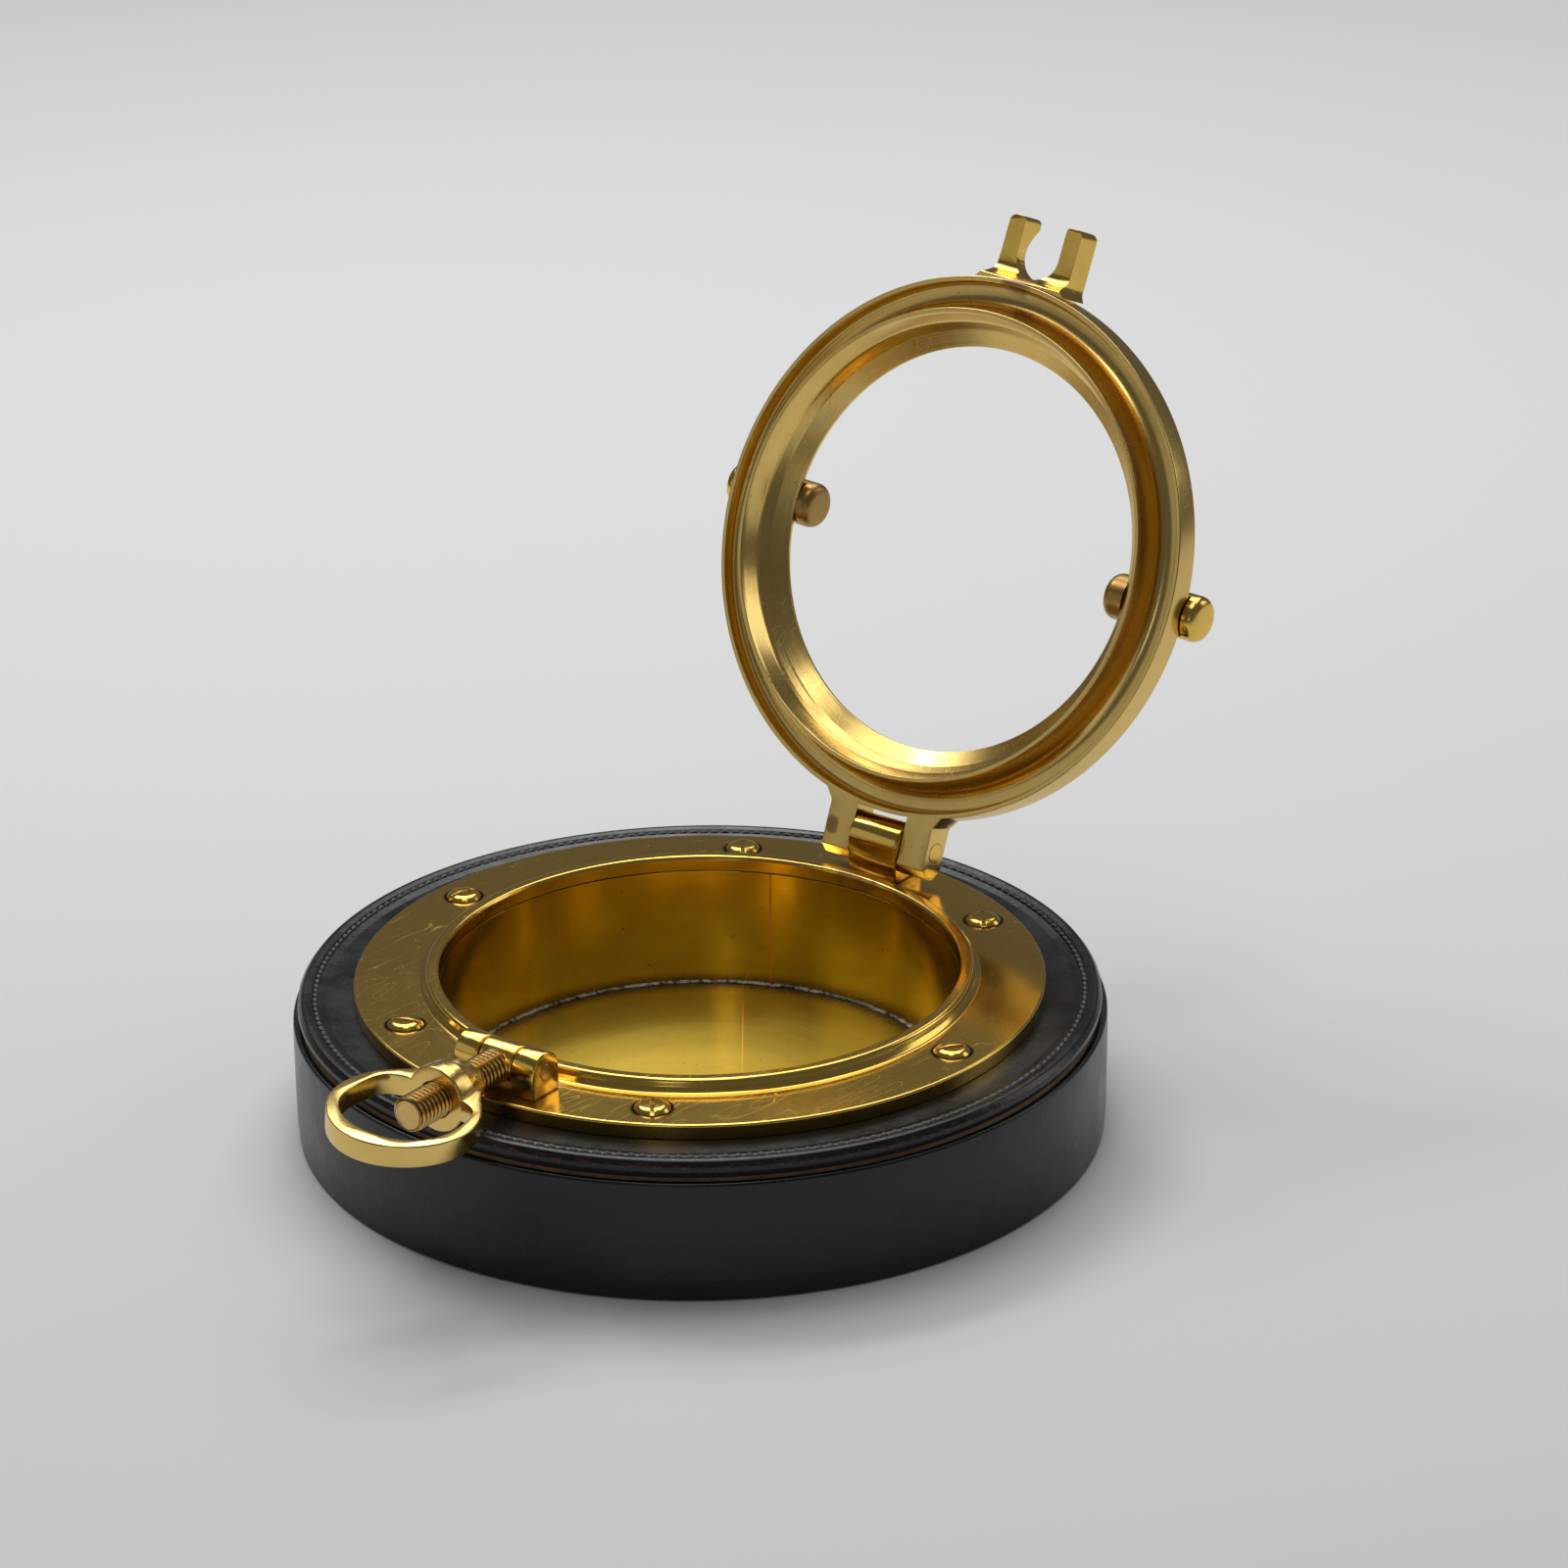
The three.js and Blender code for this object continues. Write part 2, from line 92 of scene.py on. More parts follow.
# Small dark marks in the finishes, and the painted shade of the gaps round screw heads, of thread roots and
# of the cup floor's corner.
SPECK = (0.16, 0.09, 0.035)
SCREW_GAP_SHADE = (0.07, 0.035, 0.015)
THREAD_ROOT_SHADE = (0.13, 0.05, 0.022)
CORNER_SHADE = (0.2, 0.13, 0.07)
NICK = (0.06, 0.055, 0.05)
PIT = (0.07, 0.05, 0.03)


# ---- Sizes and colours a user would change ------------------------------------------------------
def colour(name, value, description):
    return FloatVectorProperty(
        name=name, description=description, subtype="COLOR", size=3, min=0, max=1, default=value
    )


def length(name, millimetres, description):
    return FloatProperty(
        name=name, description=description, default=millimetres * MM, unit="LENGTH", precision=5
    )


def angle(name, degrees, description):
    return FloatProperty(name=name, description=description, default=radians(degrees), subtype="ANGLE")


class PORTHOLE_PG_base(bpy.types.PropertyGroup):
    """Leather-covered base."""

    leather: colour("Leather", (0.0045, 0.0046, 0.0055), "Dyed calf leather")
    raw_edge: colour("Raw edge", (0.10, 0.03, 0.016), "Leather where the dye has worn off the cut edge")
    thread: colour("Thread", (0.08, 0.08, 0.085), "Waxed sewing thread")
    stitch_pitch: length("Stitch pitch", 3.0, "Distance from one stitch to the next")
    stitch_inset: length("Stitch inset", 4.7, "Distance of the seam from the cover's cut edge")


class PORTHOLE_PG_brass(bpy.types.PropertyGroup):
    """Brass finishes."""

    polished: colour("Polished brass", (0.86, 0.565, 0.118), "Lacquered, polished brass")
    aged: colour("Aged brass", (0.60, 0.38, 0.09), "Darker brass in the corners")
    cup: colour("Cup brass", (0.88, 0.63, 0.09), "Yellower sheet brass of the cup")
    stain: colour("Braze stain", (0.32, 0.19, 0.07), "Brown copper stain round the brazed feet")
    rod: colour("Rod", (0.72, 0.47, 0.16), "Brown patina on the threaded rod")
    ring: colour("Ring brass", (0.79, 0.56, 0.18), "Paler cast brass of the lid ring")
    nut: colour("Nut brass", (0.84, 0.6, 0.19), "Brightly worn brass of the ring nut")
    pin: colour("Clamp pin", (0.6, 0.36, 0.17), "Brown, rubbed end of the clamp's pin")
    solder: colour("Solder", (0.5, 0.49, 0.45), "Grey solder in the cup's corner")
    thread_pitch: length("Thread pitch", 1.5, "Pitch of the swing bolt's thread")


class PORTHOLE_PG_stage(bpy.types.PropertyGroup):
    """Floor, lights and camera."""

    azimuth: angle("Azimuth", 37.71, "Camera's direction")
    elevation: angle("Elevation", 22.78, "Camera's tilt")
    roll: angle("Roll", -0.52, "Camera's roll")
    distance: length("Distance", 1469.3, "From the camera to the point that it aims at")
    lens: FloatProperty(name="Lens", description="Focal length in millimetres", default=123.75)
    floor: colour("Floor", (0.8, 0.8, 0.8), "Pale seamless paper")
    key_power: FloatProperty(name="Key light", description="Watts of the overhead softbox", default=21.0)
    seed: IntProperty(name="Seed", description="Start of the small irregularities", default=7)


def settings():
    """The base's, the brass's and the stage's properties."""
    scene = bpy.context.scene
    return scene.porthole_base, scene.porthole_brass, scene.porthole_stage


# ---- Mesh helpers -------------------------------------------------------------------------------
def rounded(corners, steps=6):
    """Outline through (x, y, radius) corners, each rounded by about its radius."""
    points = []
    count = len(corners)
    for index, (x, y, radius) in enumerate(corners):
        corner = Vector((x, y))
        if radius <= 0:
            points.append((x, y))
            continue
        before = Vector(corners[index - 1][:2]) - corner
        after = Vector(corners[(index + 1) % count][:2]) - corner
        half = acos(max(-1, min(1, before.normalized().dot(after.normalized())))) / 2
        cut = min(radius / tan(half), before.length * 0.48, after.length * 0.48)
        start = corner + before.normalized() * cut
        end = corner + after.normalized() * cut
        for step in range(steps + 1):
            t = step / steps
            point = start * (1 - t) ** 2 + corner * 2 * t * (1 - t) + end * t ** 2
            points.append((point.x, point.y))
    return points


def to_mesh(name, bm):
    """A mesh with its faces pointing out, from a bmesh that is then freed."""
    bmesh.ops.recalc_face_normals(bm, faces=bm.faces)
    mesh = bpy.data.meshes.new(name)
    bm.to_mesh(mesh)
    bm.free()
    return mesh


def from_lists(name, points, faces):
    """Mesh from points in millimetres."""
    bm = bmesh.new()
    verts = [bm.verts.new(Vector(point) * MM) for point in points]
    for face in faces:
        bm.faces.new([verts[index] for index in face])
    return to_mesh(name, bm)


def turned(name, outline, sides=ROUND_SIDES):
    """A closed outline of (radius, height) points turned about Z."""
    points, faces, rings = [], [], []
    for radius, height in outline:
        first = len(points)
        if radius < 1e-6:
            points.append((0, 0, height))
            rings.append([first])
            continue
        rings.append(range(first, first + sides))
        angles = [2 * pi * step / sides for step in range(sides)]
        points.extend((radius * cos(angle), radius * sin(angle), height) for angle in angles)
    for low, high in zip(rings, rings[1:] + rings[:1]):
        for step in range(sides):
            after = (step + 1) % sides
            if len(low) > 1 and len(high) > 1:
                faces.append((low[step], low[after], high[after], high[step]))
            elif len(low) > 1:
                faces.append((low[step], low[after], high[0]))
            elif len(high) > 1:
                faces.append((low[0], high[after], high[step]))
    return from_lists(name, points, faces)


def prism(name, outline, low, high, along="Z"):
    """An outline pushed along Z from x and y, or along X from y and z."""
    count = len(outline)
    if along == "Z":
        points = [(x, y, height) for height in (low, high) for x, y in outline]
    else:
        points = [(reach, y, z) for reach in (low, high) for y, z in outline]
    faces = [range(count), range(count, 2 * count)]
    faces += [(k, (k + 1) % count, count + (k + 1) % count, count + k) for k in range(count)]
    return from_lists(name, points, faces)


def baked(obj):
    """The object's mesh with its modifiers applied."""
    bpy.context.view_layer.update()
    graph = bpy.context.evaluated_depsgraph_get()
    finished = obj.evaluated_get(graph)
    mesh = bpy.data.meshes.new_from_object(finished, preserve_all_data_layers=True, depsgraph=graph)
    bpy.data.objects.remove(obj)
    return mesh


def scratch_object(mesh):
    """A temporary object for modifiers to work on."""
    obj = bpy.data.objects.new("scratch", mesh)
    bpy.context.collection.objects.link(obj)
    return obj


def combined(mesh, other, operation):
    """Boolean of two meshes: DIFFERENCE, UNION or INTERSECT."""
    obj = scratch_object(mesh)
    tool = scratch_object(other)
    cut = obj.modifiers.new("cut", "BOOLEAN")
    cut.operation = operation
    cut.solver = "EXACT"
    cut.object = tool
    result = baked(obj)
    bpy.data.objects.remove(tool)
    return result


def softened(mesh, width, segments=3, angle=35):
    """The mesh with its sharp edges rounded by a width in millimetres."""
    obj = scratch_object(mesh)
    bevel = obj.modifiers.new("soft", "BEVEL")
    bevel.width = width * MM
    bevel.segments = segments
    bevel.limit_method = "ANGLE"
    bevel.angle_limit = radians(angle)
    bevel.use_clamp_overlap = True
    bevel.miter_outer = "MITER_ARC"
    return baked(obj)


def moved(mesh, matrix):
    """The same mesh, after a transform."""
    mesh.transform(matrix)
    return mesh


def round_bar(radius, low, high, y=0.0, z=0.0, sides=SMALL_SIDES, end=0.0):
    """A bar along X; end rounds its two rims."""
    outline = rounded([(0, low, 0), (radius, low, end), (radius, high, end), (0, high, 0)])
    mesh = turned("bar", outline, sides)
    mesh.transform(Matrix.Rotation(pi / 2, 4, "Y"))
    mesh.transform(Matrix.Translation(Vector((0, y, z)) * MM))
    return mesh


def add_piece(name, mesh, material, body, slot, *nodes, place=None, sharp=38):
    """Adds a finished piece that rides on a body and stands for its CAD nodes."""
    if not mesh.polygons:
        raise RuntimeError(f"{name} came out empty")
    mesh.name = name
    mesh.shade_smooth()
    mesh.set_sharp_from_angle(angle=radians(sharp))
    mesh.materials.clear()
    mesh.materials.append(material)
    obj = bpy.data.objects.new(name, mesh)
    bpy.context.collection.objects.link(obj)
    if place is not None:
        obj.matrix_world = place
    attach(obj, body)
    if nodes:
        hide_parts(*nodes)
    return obj


# ---- Material helpers ---------------------------------------------------------------------------
class Recipe:
    """A material's nodes, added one at a time."""

    def __init__(self, name):
        self.material = bpy.data.materials.new(name)
        self.material.use_nodes = True
        self.tree = self.material.node_tree
        self.shader = self.tree.nodes["Principled BSDF"]
        texture = self.tree.nodes.new("ShaderNodeTexCoord")
        self.place = self.scaled(texture.outputs["Object"], (1 / MM,) * 3)

    def link(self, source, socket):
        if isinstance(source, bpy.types.NodeSocket):
            self.tree.links.new(source, socket)
        elif isinstance(source, (int, float)):
            socket.default_value = source
        else:
            value = tuple(source)
            socket.default_value = value if len(value) == len(socket.default_value) else (*value, 1)

    def scaled(self, vector, factors):
        node = self.tree.nodes.new("ShaderNodeVectorMath")
        node.operation = "MULTIPLY"
        self.link(vector, node.inputs[0])
        node.inputs[1].default_value = factors
        return node.outputs[0]

    def maths(self, operation, first, second=0.0):
        node = self.tree.nodes.new("ShaderNodeMath")
        node.operation = operation
        self.link(first, node.inputs[0])
        self.link(second, node.inputs[1])
        return node.outputs[0]

    def split(self, vector):
        node = self.tree.nodes.new("ShaderNodeSeparateXYZ")
        self.link(vector, node.inputs[0])
        return node.outputs

    def reach(self, first, second):
        """Length of a vector with these two parts."""
        squares = self.maths("MULTIPLY", first, first), self.maths("MULTIPLY", second, second)
        return self.maths("SQRT", self.maths("ADD", *squares))

    def joined(self, x, y, z):
        node = self.tree.nodes.new("ShaderNodeCombineXYZ")
        for value, socket in zip((x, y, z), node.inputs):
            self.link(value, socket)
        return node.outputs[0]

    def cloud(self, vector, scale, detail=3.0, roughness=0.55, distortion=0.0):
        node = self.tree.nodes.new("ShaderNodeTexNoise")
        self.link(vector, node.inputs["Vector"])
        node.inputs["Scale"].default_value = scale
        node.inputs["Detail"].default_value = detail
        node.inputs["Roughness"].default_value = roughness
        node.inputs["Distortion"].default_value = distortion
        return node.outputs["Fac"]

    def cells(self, vector, scale):
        node = self.tree.nodes.new("ShaderNodeTexVoronoi")
        self.link(vector, node.inputs["Vector"])
        node.inputs["Scale"].default_value = scale
        return node.outputs["Distance"]

    def ramp(self, value, low, high, out_low=0.0, out_high=1.0):
        node = self.tree.nodes.new("ShaderNodeMapRange")
        node.interpolation_type = "SMOOTHSTEP"
        for socket, number in zip(node.inputs, (value, low, high, out_low, out_high)):
            self.link(number, socket)
        return node.outputs[0]

    def mix(self, amount, first, second):
        node = self.tree.nodes.new("ShaderNodeMix")
        node.data_type = "RGBA"
        self.link(amount, node.inputs["Factor"])
        self.link(first, node.inputs[6])
        self.link(second, node.inputs[7])
        return node.outputs[2]

    def radius(self, centre=(0, 0)):
        """Distance from an upright axis, in millimetres."""
        x, y, _ = self.split(self.place)
        if centre != (0, 0):
            x = self.maths("SUBTRACT", x, centre[0])
            y = self.maths("SUBTRACT", y, centre[1])
        return self.reach(x, y)

    def near(self, point, size):
        """1 at a point in millimetres, falling to 0 at a ragged edge about size away."""
        node = self.tree.nodes.new("ShaderNodeVectorMath")
        node.operation = "DISTANCE"
        self.link(self.place, node.inputs[0])
        node.inputs[1].default_value = point
        ragged = self.maths("MULTIPLY", self.maths("SUBTRACT", self.cloud(self.place, 0.25, 5), 0.5), size)
        return self.ramp(self.maths("ADD", node.outputs["Value"], ragged), size, size * 0.5)

    def bump(self, height, depth, below=None):
        """A relief of depth millimetres."""
        node = self.tree.nodes.new("ShaderNodeBump")
        node.inputs["Strength"].default_value = 1.0
        node.inputs["Distance"].default_value = depth * MM
        self.link(height, node.inputs["Height"])
        if below is not None:
            self.link(below, node.inputs["Normal"])
        return node.outputs[0]

    def finish(self, **sockets):
        for name, value in sockets.items():
            self.link(value, self.shader.inputs[name.replace("_", " ")])
        return self.material


def grain(recipe, kind):
    """Fine polishing lines that run round the axis, or along X, Y or Z."""
    if kind == "round":
        _, _, height = recipe.split(recipe.place)
        return recipe.cloud(recipe.joined(recipe.radius(), height, 0.0), 4.0, 4, 0.7)
    factors = {"X": (0.05, 1, 1), "Y": (1, 0.05, 1), "Z": (1, 1, 0.05)}[kind]
    return recipe.cloud(recipe.scaled(recipe.place, factors), 4.0, 4, 0.7)


def brass_finish(name, shade, gloss, kind="round", wear=0.35, stains=(), lines=0.0035, shaded_gaps=(), valley=None):
    """Polished brass with lines, hairline scratches, dull clouds, specks, stains and rings of painted shade.

    A stain is (point, size) and a ring of painted shade round a gap is ((x, y), unshaded radius, dark
    radius).
    A valley is (dark radius, unshaded radius) about Y, for painted shade in the roots of a thread.
    """
    _, brass, _ = settings()
    recipe = Recipe(name)
    polish = grain(recipe, kind)
    cloud = recipe.cloud(recipe.place, 0.035, 5, 0.6, 0.4)
    fine = recipe.cloud(recipe.place, 0.6, 4, 0.65)
    dull = recipe.ramp(cloud, 0.42, 0.72)
    hair = recipe.cloud(recipe.scaled(recipe.place, (0.09, 0.02, 0.05)), 1.6, 1, 0.5, 1.2)
    hair = recipe.ramp(recipe.maths("ABSOLUTE", recipe.maths("SUBTRACT", hair, 0.5)), 0.004, 0.0)
    specks = recipe.ramp(recipe.cells(recipe.place, 0.32), 0.12, 0.05)
    specks = recipe.maths("MULTIPLY", specks, recipe.ramp(fine, 0.55, 0.62))
    tint = recipe.mix(recipe.maths("MULTIPLY", dull, wear), shade, brass.aged)
    tint = recipe.mix(recipe.maths("MULTIPLY", recipe.ramp(fine, 0.5, 0.8), wear * 0.5), tint, brass.aged)
    tint = recipe.mix(recipe.maths("MULTIPLY", specks, 0.75), tint, SPECK)
    stained = 0.0
    for point, size in stains:
        stained = recipe.maths("MAXIMUM", stained, recipe.near(point, size))
    tint = recipe.mix(recipe.maths("MULTIPLY", stained, 0.8), tint, brass.stain)
    # Painted shade: a dark ring where a screw head sits in its sink, on the head's rim and round the sink.
    for centre, unshaded, dark_radius in shaded_gaps:
        around = recipe.ramp(recipe.radius(centre), unshaded, dark_radius)
        tint = recipe.mix(recipe.maths("MULTIPLY", around, 0.75), tint, SCREW_GAP_SHADE)
    # Painted shade: a thread's roots are darkened; its crests and its end face are left alone.
    if valley:
        x, _, z = recipe.split(recipe.place)
        away = recipe.reach(x, z)
        on_end = recipe.ramp(away, valley[0] - 0.05, valley[0] - 0.1)
        unshaded = recipe.maths("MAXIMUM", recipe.ramp(away, *valley), on_end)
        tint = recipe.mix(unshaded, THREAD_ROOT_SHADE, tint)
    rough = recipe.maths("ADD", recipe.ramp(polish, 0.25, 0.75, gloss * 0.75, gloss * 1.2),
                         recipe.maths("MULTIPLY", dull, 0.10 * wear))
    rough = recipe.maths("ADD", rough, recipe.maths("MULTIPLY", recipe.maths("ADD", hair, specks), 0.12))
    rough = recipe.maths("ADD", rough, recipe.maths("MULTIPLY", stained, 0.18))
    relief = recipe.bump(polish, lines)
    relief = recipe.bump(recipe.maths("ADD", hair, specks), -0.004, relief)
    relief = recipe.bump(recipe.cloud(recipe.place, 0.12, 2), 0.03, relief)
    return recipe.finish(Base_Color=tint, Metallic=1.0, Roughness=rough, Normal=relief)


def leather_finish(name, edge=False):
    """Smooth black calf with a faint grain; a cut edge shows worn brown."""
    base, _, _ = settings()
    recipe = Recipe(name)
    pores = recipe.cells(recipe.place, 1.1)
    soft = recipe.cloud(recipe.place, 0.07, 5, 0.6)
    fine = recipe.cloud(recipe.place, 2.2, 4, 0.7)
    nicks = recipe.ramp(recipe.cloud(recipe.place, 0.45, 2, 0.5), 0.74, 0.8)
    tint = recipe.mix(recipe.ramp(soft, 0.3, 0.75), base.leather, (0.011, 0.0112, 0.0125))
    tint = recipe.mix(recipe.maths("MULTIPLY", nicks, 0.25), tint, NICK)
    if edge:
        x, y, height = recipe.split(recipe.place)
        rim = recipe.ramp(recipe.radius(), COVER_RADIUS - 0.9, COVER_RADIUS - 0.35)
        rim = recipe.maths("MULTIPLY", rim, recipe.ramp(height, COVER_LOW + 1.0, COVER_LOW + 1.6))
        side = recipe.ramp(recipe.maths("SUBTRACT", x, recipe.maths("MULTIPLY", y, 0.9)), -10.0, 90.0)
        ragged = recipe.ramp(recipe.cloud(recipe.scaled(recipe.place, (1, 1, 3)), 0.5, 5, 0.7), 0.5, 0.64)
        worn = recipe.maths("MULTIPLY", recipe.maths("MULTIPLY", rim, side), ragged)
        tint = recipe.mix(worn, tint, base.raw_edge)
    rough = recipe.ramp(recipe.maths("ADD", soft, recipe.maths("MULTIPLY", fine, 0.4)), 0.4, 1.0, 0.2, 0.36)
    relief = recipe.bump(pores, 0.012)
    relief = recipe.bump(fine, 0.02, relief)
    relief = recipe.bump(soft, 0.35, relief)
    return recipe.finish(Base_Color=tint, Roughness=rough, Normal=relief, Specular_IOR_Level=0.42)


def fibre_finish(name, light, dark, scale):
    """Felt, thread, raw leather or turned wood: a rough, fibrous surface."""
    recipe = Recipe(name)
    fibres = recipe.cloud(recipe.scaled(recipe.place, (1, 1, 4)), scale, 6, 0.75, 0.3)
    tint = recipe.mix(recipe.ramp(fibres, 0.35, 0.7), dark, light)
    relief = recipe.bump(fibres, 0.12)
    return recipe.finish(Base_Color=tint, Roughness=0.82, Normal=relief)


def solder_finish():
    """Dull grey solder with dark pits."""
    _, brass, _ = settings()
    recipe = Recipe("Solder")
    lumps = recipe.cloud(recipe.place, 0.5, 5, 0.7)
    tint = recipe.mix(recipe.ramp(lumps, 0.38, 0.56), PIT, brass.solder)
    return recipe.finish(
        Base_Color=tint, Metallic=0.85, Roughness=recipe.ramp(lumps, 0.3, 0.7, 0.3, 0.6),
        Normal=recipe.bump(lumps, 0.3),
    )


SEAM_NORMAL = (0.791, 0.612)


def cup_finish(name, kind, seam_across, seam_start, seam_width):
    """Amber, streaky brass of the cup, with a thin copper seam where the sheet was joined,
    and painted shade in the floor's corner.

    The seam's plane stands seam_across from the axis, and the seam begins at seam_start along it.
    """
    _, brass, _ = settings()
    recipe = Recipe(name)
    x, y, height = recipe.split(recipe.place)
    streak = recipe.cloud(recipe.scaled(recipe.place, (0.05, 0.05, 1.6)), 1.4, 5, 0.7)
    arcs = recipe.cloud(recipe.joined(recipe.radius(), height, 0.0), 1.6, 5, 0.75)
    cloud = recipe.cloud(recipe.place, 0.04, 4, 0.6, 0.8)
    fine = recipe.cloud(recipe.place, 0.8, 4, 0.65)
    along_x, along_y = SEAM_NORMAL
    side = recipe.maths("ADD", recipe.maths("MULTIPLY", x, along_x), recipe.maths("MULTIPLY", y, along_y))
    ahead = recipe.maths("ADD", recipe.maths("MULTIPLY", x, -along_y), recipe.maths("MULTIPLY", y, along_x))
    offset = recipe.maths("ABSOLUTE", recipe.maths("SUBTRACT", side, seam_across))
    seam = recipe.ramp(offset, seam_width, 0.05)
    seam = recipe.maths("MULTIPLY", seam, recipe.ramp(ahead, seam_start, seam_start + 2))
    specks = recipe.ramp(recipe.cells(recipe.place, 0.22), 0.13, 0.04)
    specks = recipe.maths("MULTIPLY", specks, recipe.ramp(fine, 0.5, 0.6))
    lines = streak if kind == "wall" else arcs
    tint = recipe.mix(recipe.ramp(cloud, 0.35, 0.7), brass.cup, tuple(shade * 0.8 for shade in brass.cup))
    tint = recipe.mix(recipe.maths("MULTIPLY", recipe.ramp(lines, 0.5, 0.72), 0.18), tint, (0.45, 0.29, 0.08))
    tint = recipe.mix(recipe.maths("MULTIPLY", specks, 0.8), tint, (0.12, 0.065, 0.02))
    # Painted shade: the floor darkens, raggedly, towards its corner with the wall.
    if kind == "floor":
        ragged = recipe.maths("ADD", recipe.radius(), recipe.maths("MULTIPLY", fine, 6.0))
        tint = recipe.mix(recipe.ramp(ragged, 66, 72.5), tint, CORNER_SHADE)
    tint = recipe.mix(recipe.maths("MULTIPLY", seam, 0.9), tint, (0.95, 0.42, 0.1))
    smooth, dull = (0.09, 0.2) if kind == "wall" else (0.3, 0.46)
    uneven = recipe.maths("ADD", lines, recipe.maths("MULTIPLY", cloud, 0.6))
    rough = recipe.ramp(uneven, 0.5, 1.1, smooth, dull)
    rough = recipe.maths("ADD", rough, recipe.maths("MULTIPLY", seam, 0.3))
    relief = recipe.bump(lines, 0.0015 if kind == "wall" else 0.004)
    relief = recipe.bump(recipe.cloud(recipe.place, 0.03, 2), 0.1, relief)
    return recipe.finish(Base_Color=tint, Metallic=1.0, Roughness=rough, Normal=relief)


# ---- Base ---------------------------------------------------------------------------------------
class PORTHOLE_OT_core(bpy.types.Operator):
    """Give the wooden core and the felt pad their finishes"""

    bl_idname = "porthole.core"
    bl_label = "Core and pad"

    def execute(self, context):
        finishes = {
            "base_core": fibre_finish("Turned beech", (0.42, 0.27, 0.15), (0.25, 0.15, 0.08), 0.2),
            "base_pad": fibre_finish("Black felt", (0.02, 0.02, 0.02), (0.006, 0.006, 0.006), 1.5),
        }
        for node, finish in finishes.items():
            materials = frame["nodes"][node].data.materials
            materials.clear()
            materials.append(finish)
        return {"FINISHED"}


def band_mesh():
    """The side band: slightly barrel-shaped, with a soft top edge, and never perfectly even."""
    inner = BASE_RADIUS - 2.1
    outline = rounded([
        (inner, 0.3, 0), (BASE_RADIUS - 0.35, 0.3, 0.5), (BASE_RADIUS, 6, 8), (BASE_RADIUS, BAND_TOP - 6, 6),
        (BASE_RADIUS - 0.1, BAND_TOP, 2.2), (inner, BAND_TOP, 0.2),
    ], 8)
    mesh = turned("side_band", outline)
    for vert in mesh.vertices:
        reach = Vector((vert.co.x, vert.co.y, 0))
        if reach.length > (inner + 0.5) * MM:
            uneven = noise.noise(vert.co * 22) * 0.18 - 0.18
            vert.co += reach.normalized() * uneven * MM
    return mesh


class PORTHOLE_OT_band(bpy.types.Operator):
    """Wrap the drum's side in leather"""

    bl_idname = "porthole.band"
    bl_label = "Side band"

    def execute(self, context):
        finish = leather_finish("Black calf band")
        add_piece("side_band", band_mesh(), finish, "base", "black_leather", "side_leather")
        return {"FINISHED"}


def cover_mesh():
    """The top cover: a raw cut edge, a rolled border and a furrow pulled in by the seam."""
    edge = COVER_RADIUS
    seam = edge - settings()[0].stitch_inset / MM
    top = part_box("top_leather")[1].z / MM
    outline = rounded([
        (WELL, COVER_LOW, 0), (edge - 0.3, COVER_LOW, 0.3), (edge, COVER_LOW + 0.9, 0.4),
        (edge - 0.15, COVER_LOW + 2.0, 0.4), (edge - 1.2, top - 0.1, 1.2), (edge - 2.4, top, 1.0),
        (seam + 1.0, top - 0.35, 0.8), (seam, top - 1.05, 0.5), (seam - 0.9, top - 0.75, 0.6),
        (seam - 3.0, FLANGE_LOW, 2.0), (WELL, FLANGE_LOW, 0),
    ], 8)
    return turned("top_cover", outline)


class PORTHOLE_OT_cover(bpy.types.Operator):
    """Lay the stitched top cover and its lining"""

    bl_idname = "porthole.cover"
    bl_label = "Top cover"

    def execute(self, context):
        low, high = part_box("top_lining")
        outline = rounded([
            (WELL, low.z / MM, 0), (high.x / MM, low.z / MM, 0.4), (high.x / MM, high.z / MM, 0.4),
            (WELL, high.z / MM, 0),
        ])
        lining = fibre_finish("Raw leather lining", (0.02, 0.011, 0.008), (0.005, 0.004, 0.004), 0.9)
        add_piece("top_cover", cover_mesh(), leather_finish("Black calf cover", edge=True), "base",
                  "black_leather", "top_leather")
        add_piece("cover_lining", turned("cover_lining", outline), lining, "base", "leather_lining",
                  "top_lining")
        return {"FINISHED"}


def stitch_points(span, count_before, sides=6, rows=7):
    """One stitch along X: a thread that rises out of its hole and dives into the next, a span away."""
    points, faces = [], []
    for row in range(rows):
        t = row / (rows - 1)
        thick = 0.42 * (0.5 + 0.5 * sin(pi * t))
        centre = Vector((span * (t - 0.5), 0, 0.36 * sin(pi * t) - 0.14))
        for side in range(sides):
            angle = 2 * pi * side / sides
            points.append(centre + Vector((0, cos(angle) * thick * 1.25, sin(angle) * thick)))
    for row in range(rows - 1):
        for side in range(sides):
            a, b = row * sides + side, row * sides + (side + 1) % sides
            faces.append(tuple(count_before + k for k in (a, b, b + sides, a + sides)))
    faces.append(tuple(count_before + k for k in range(sides)))
    faces.append(tuple(count_before + (rows - 1) * sides + k for k in range(sides)))
    return points, faces


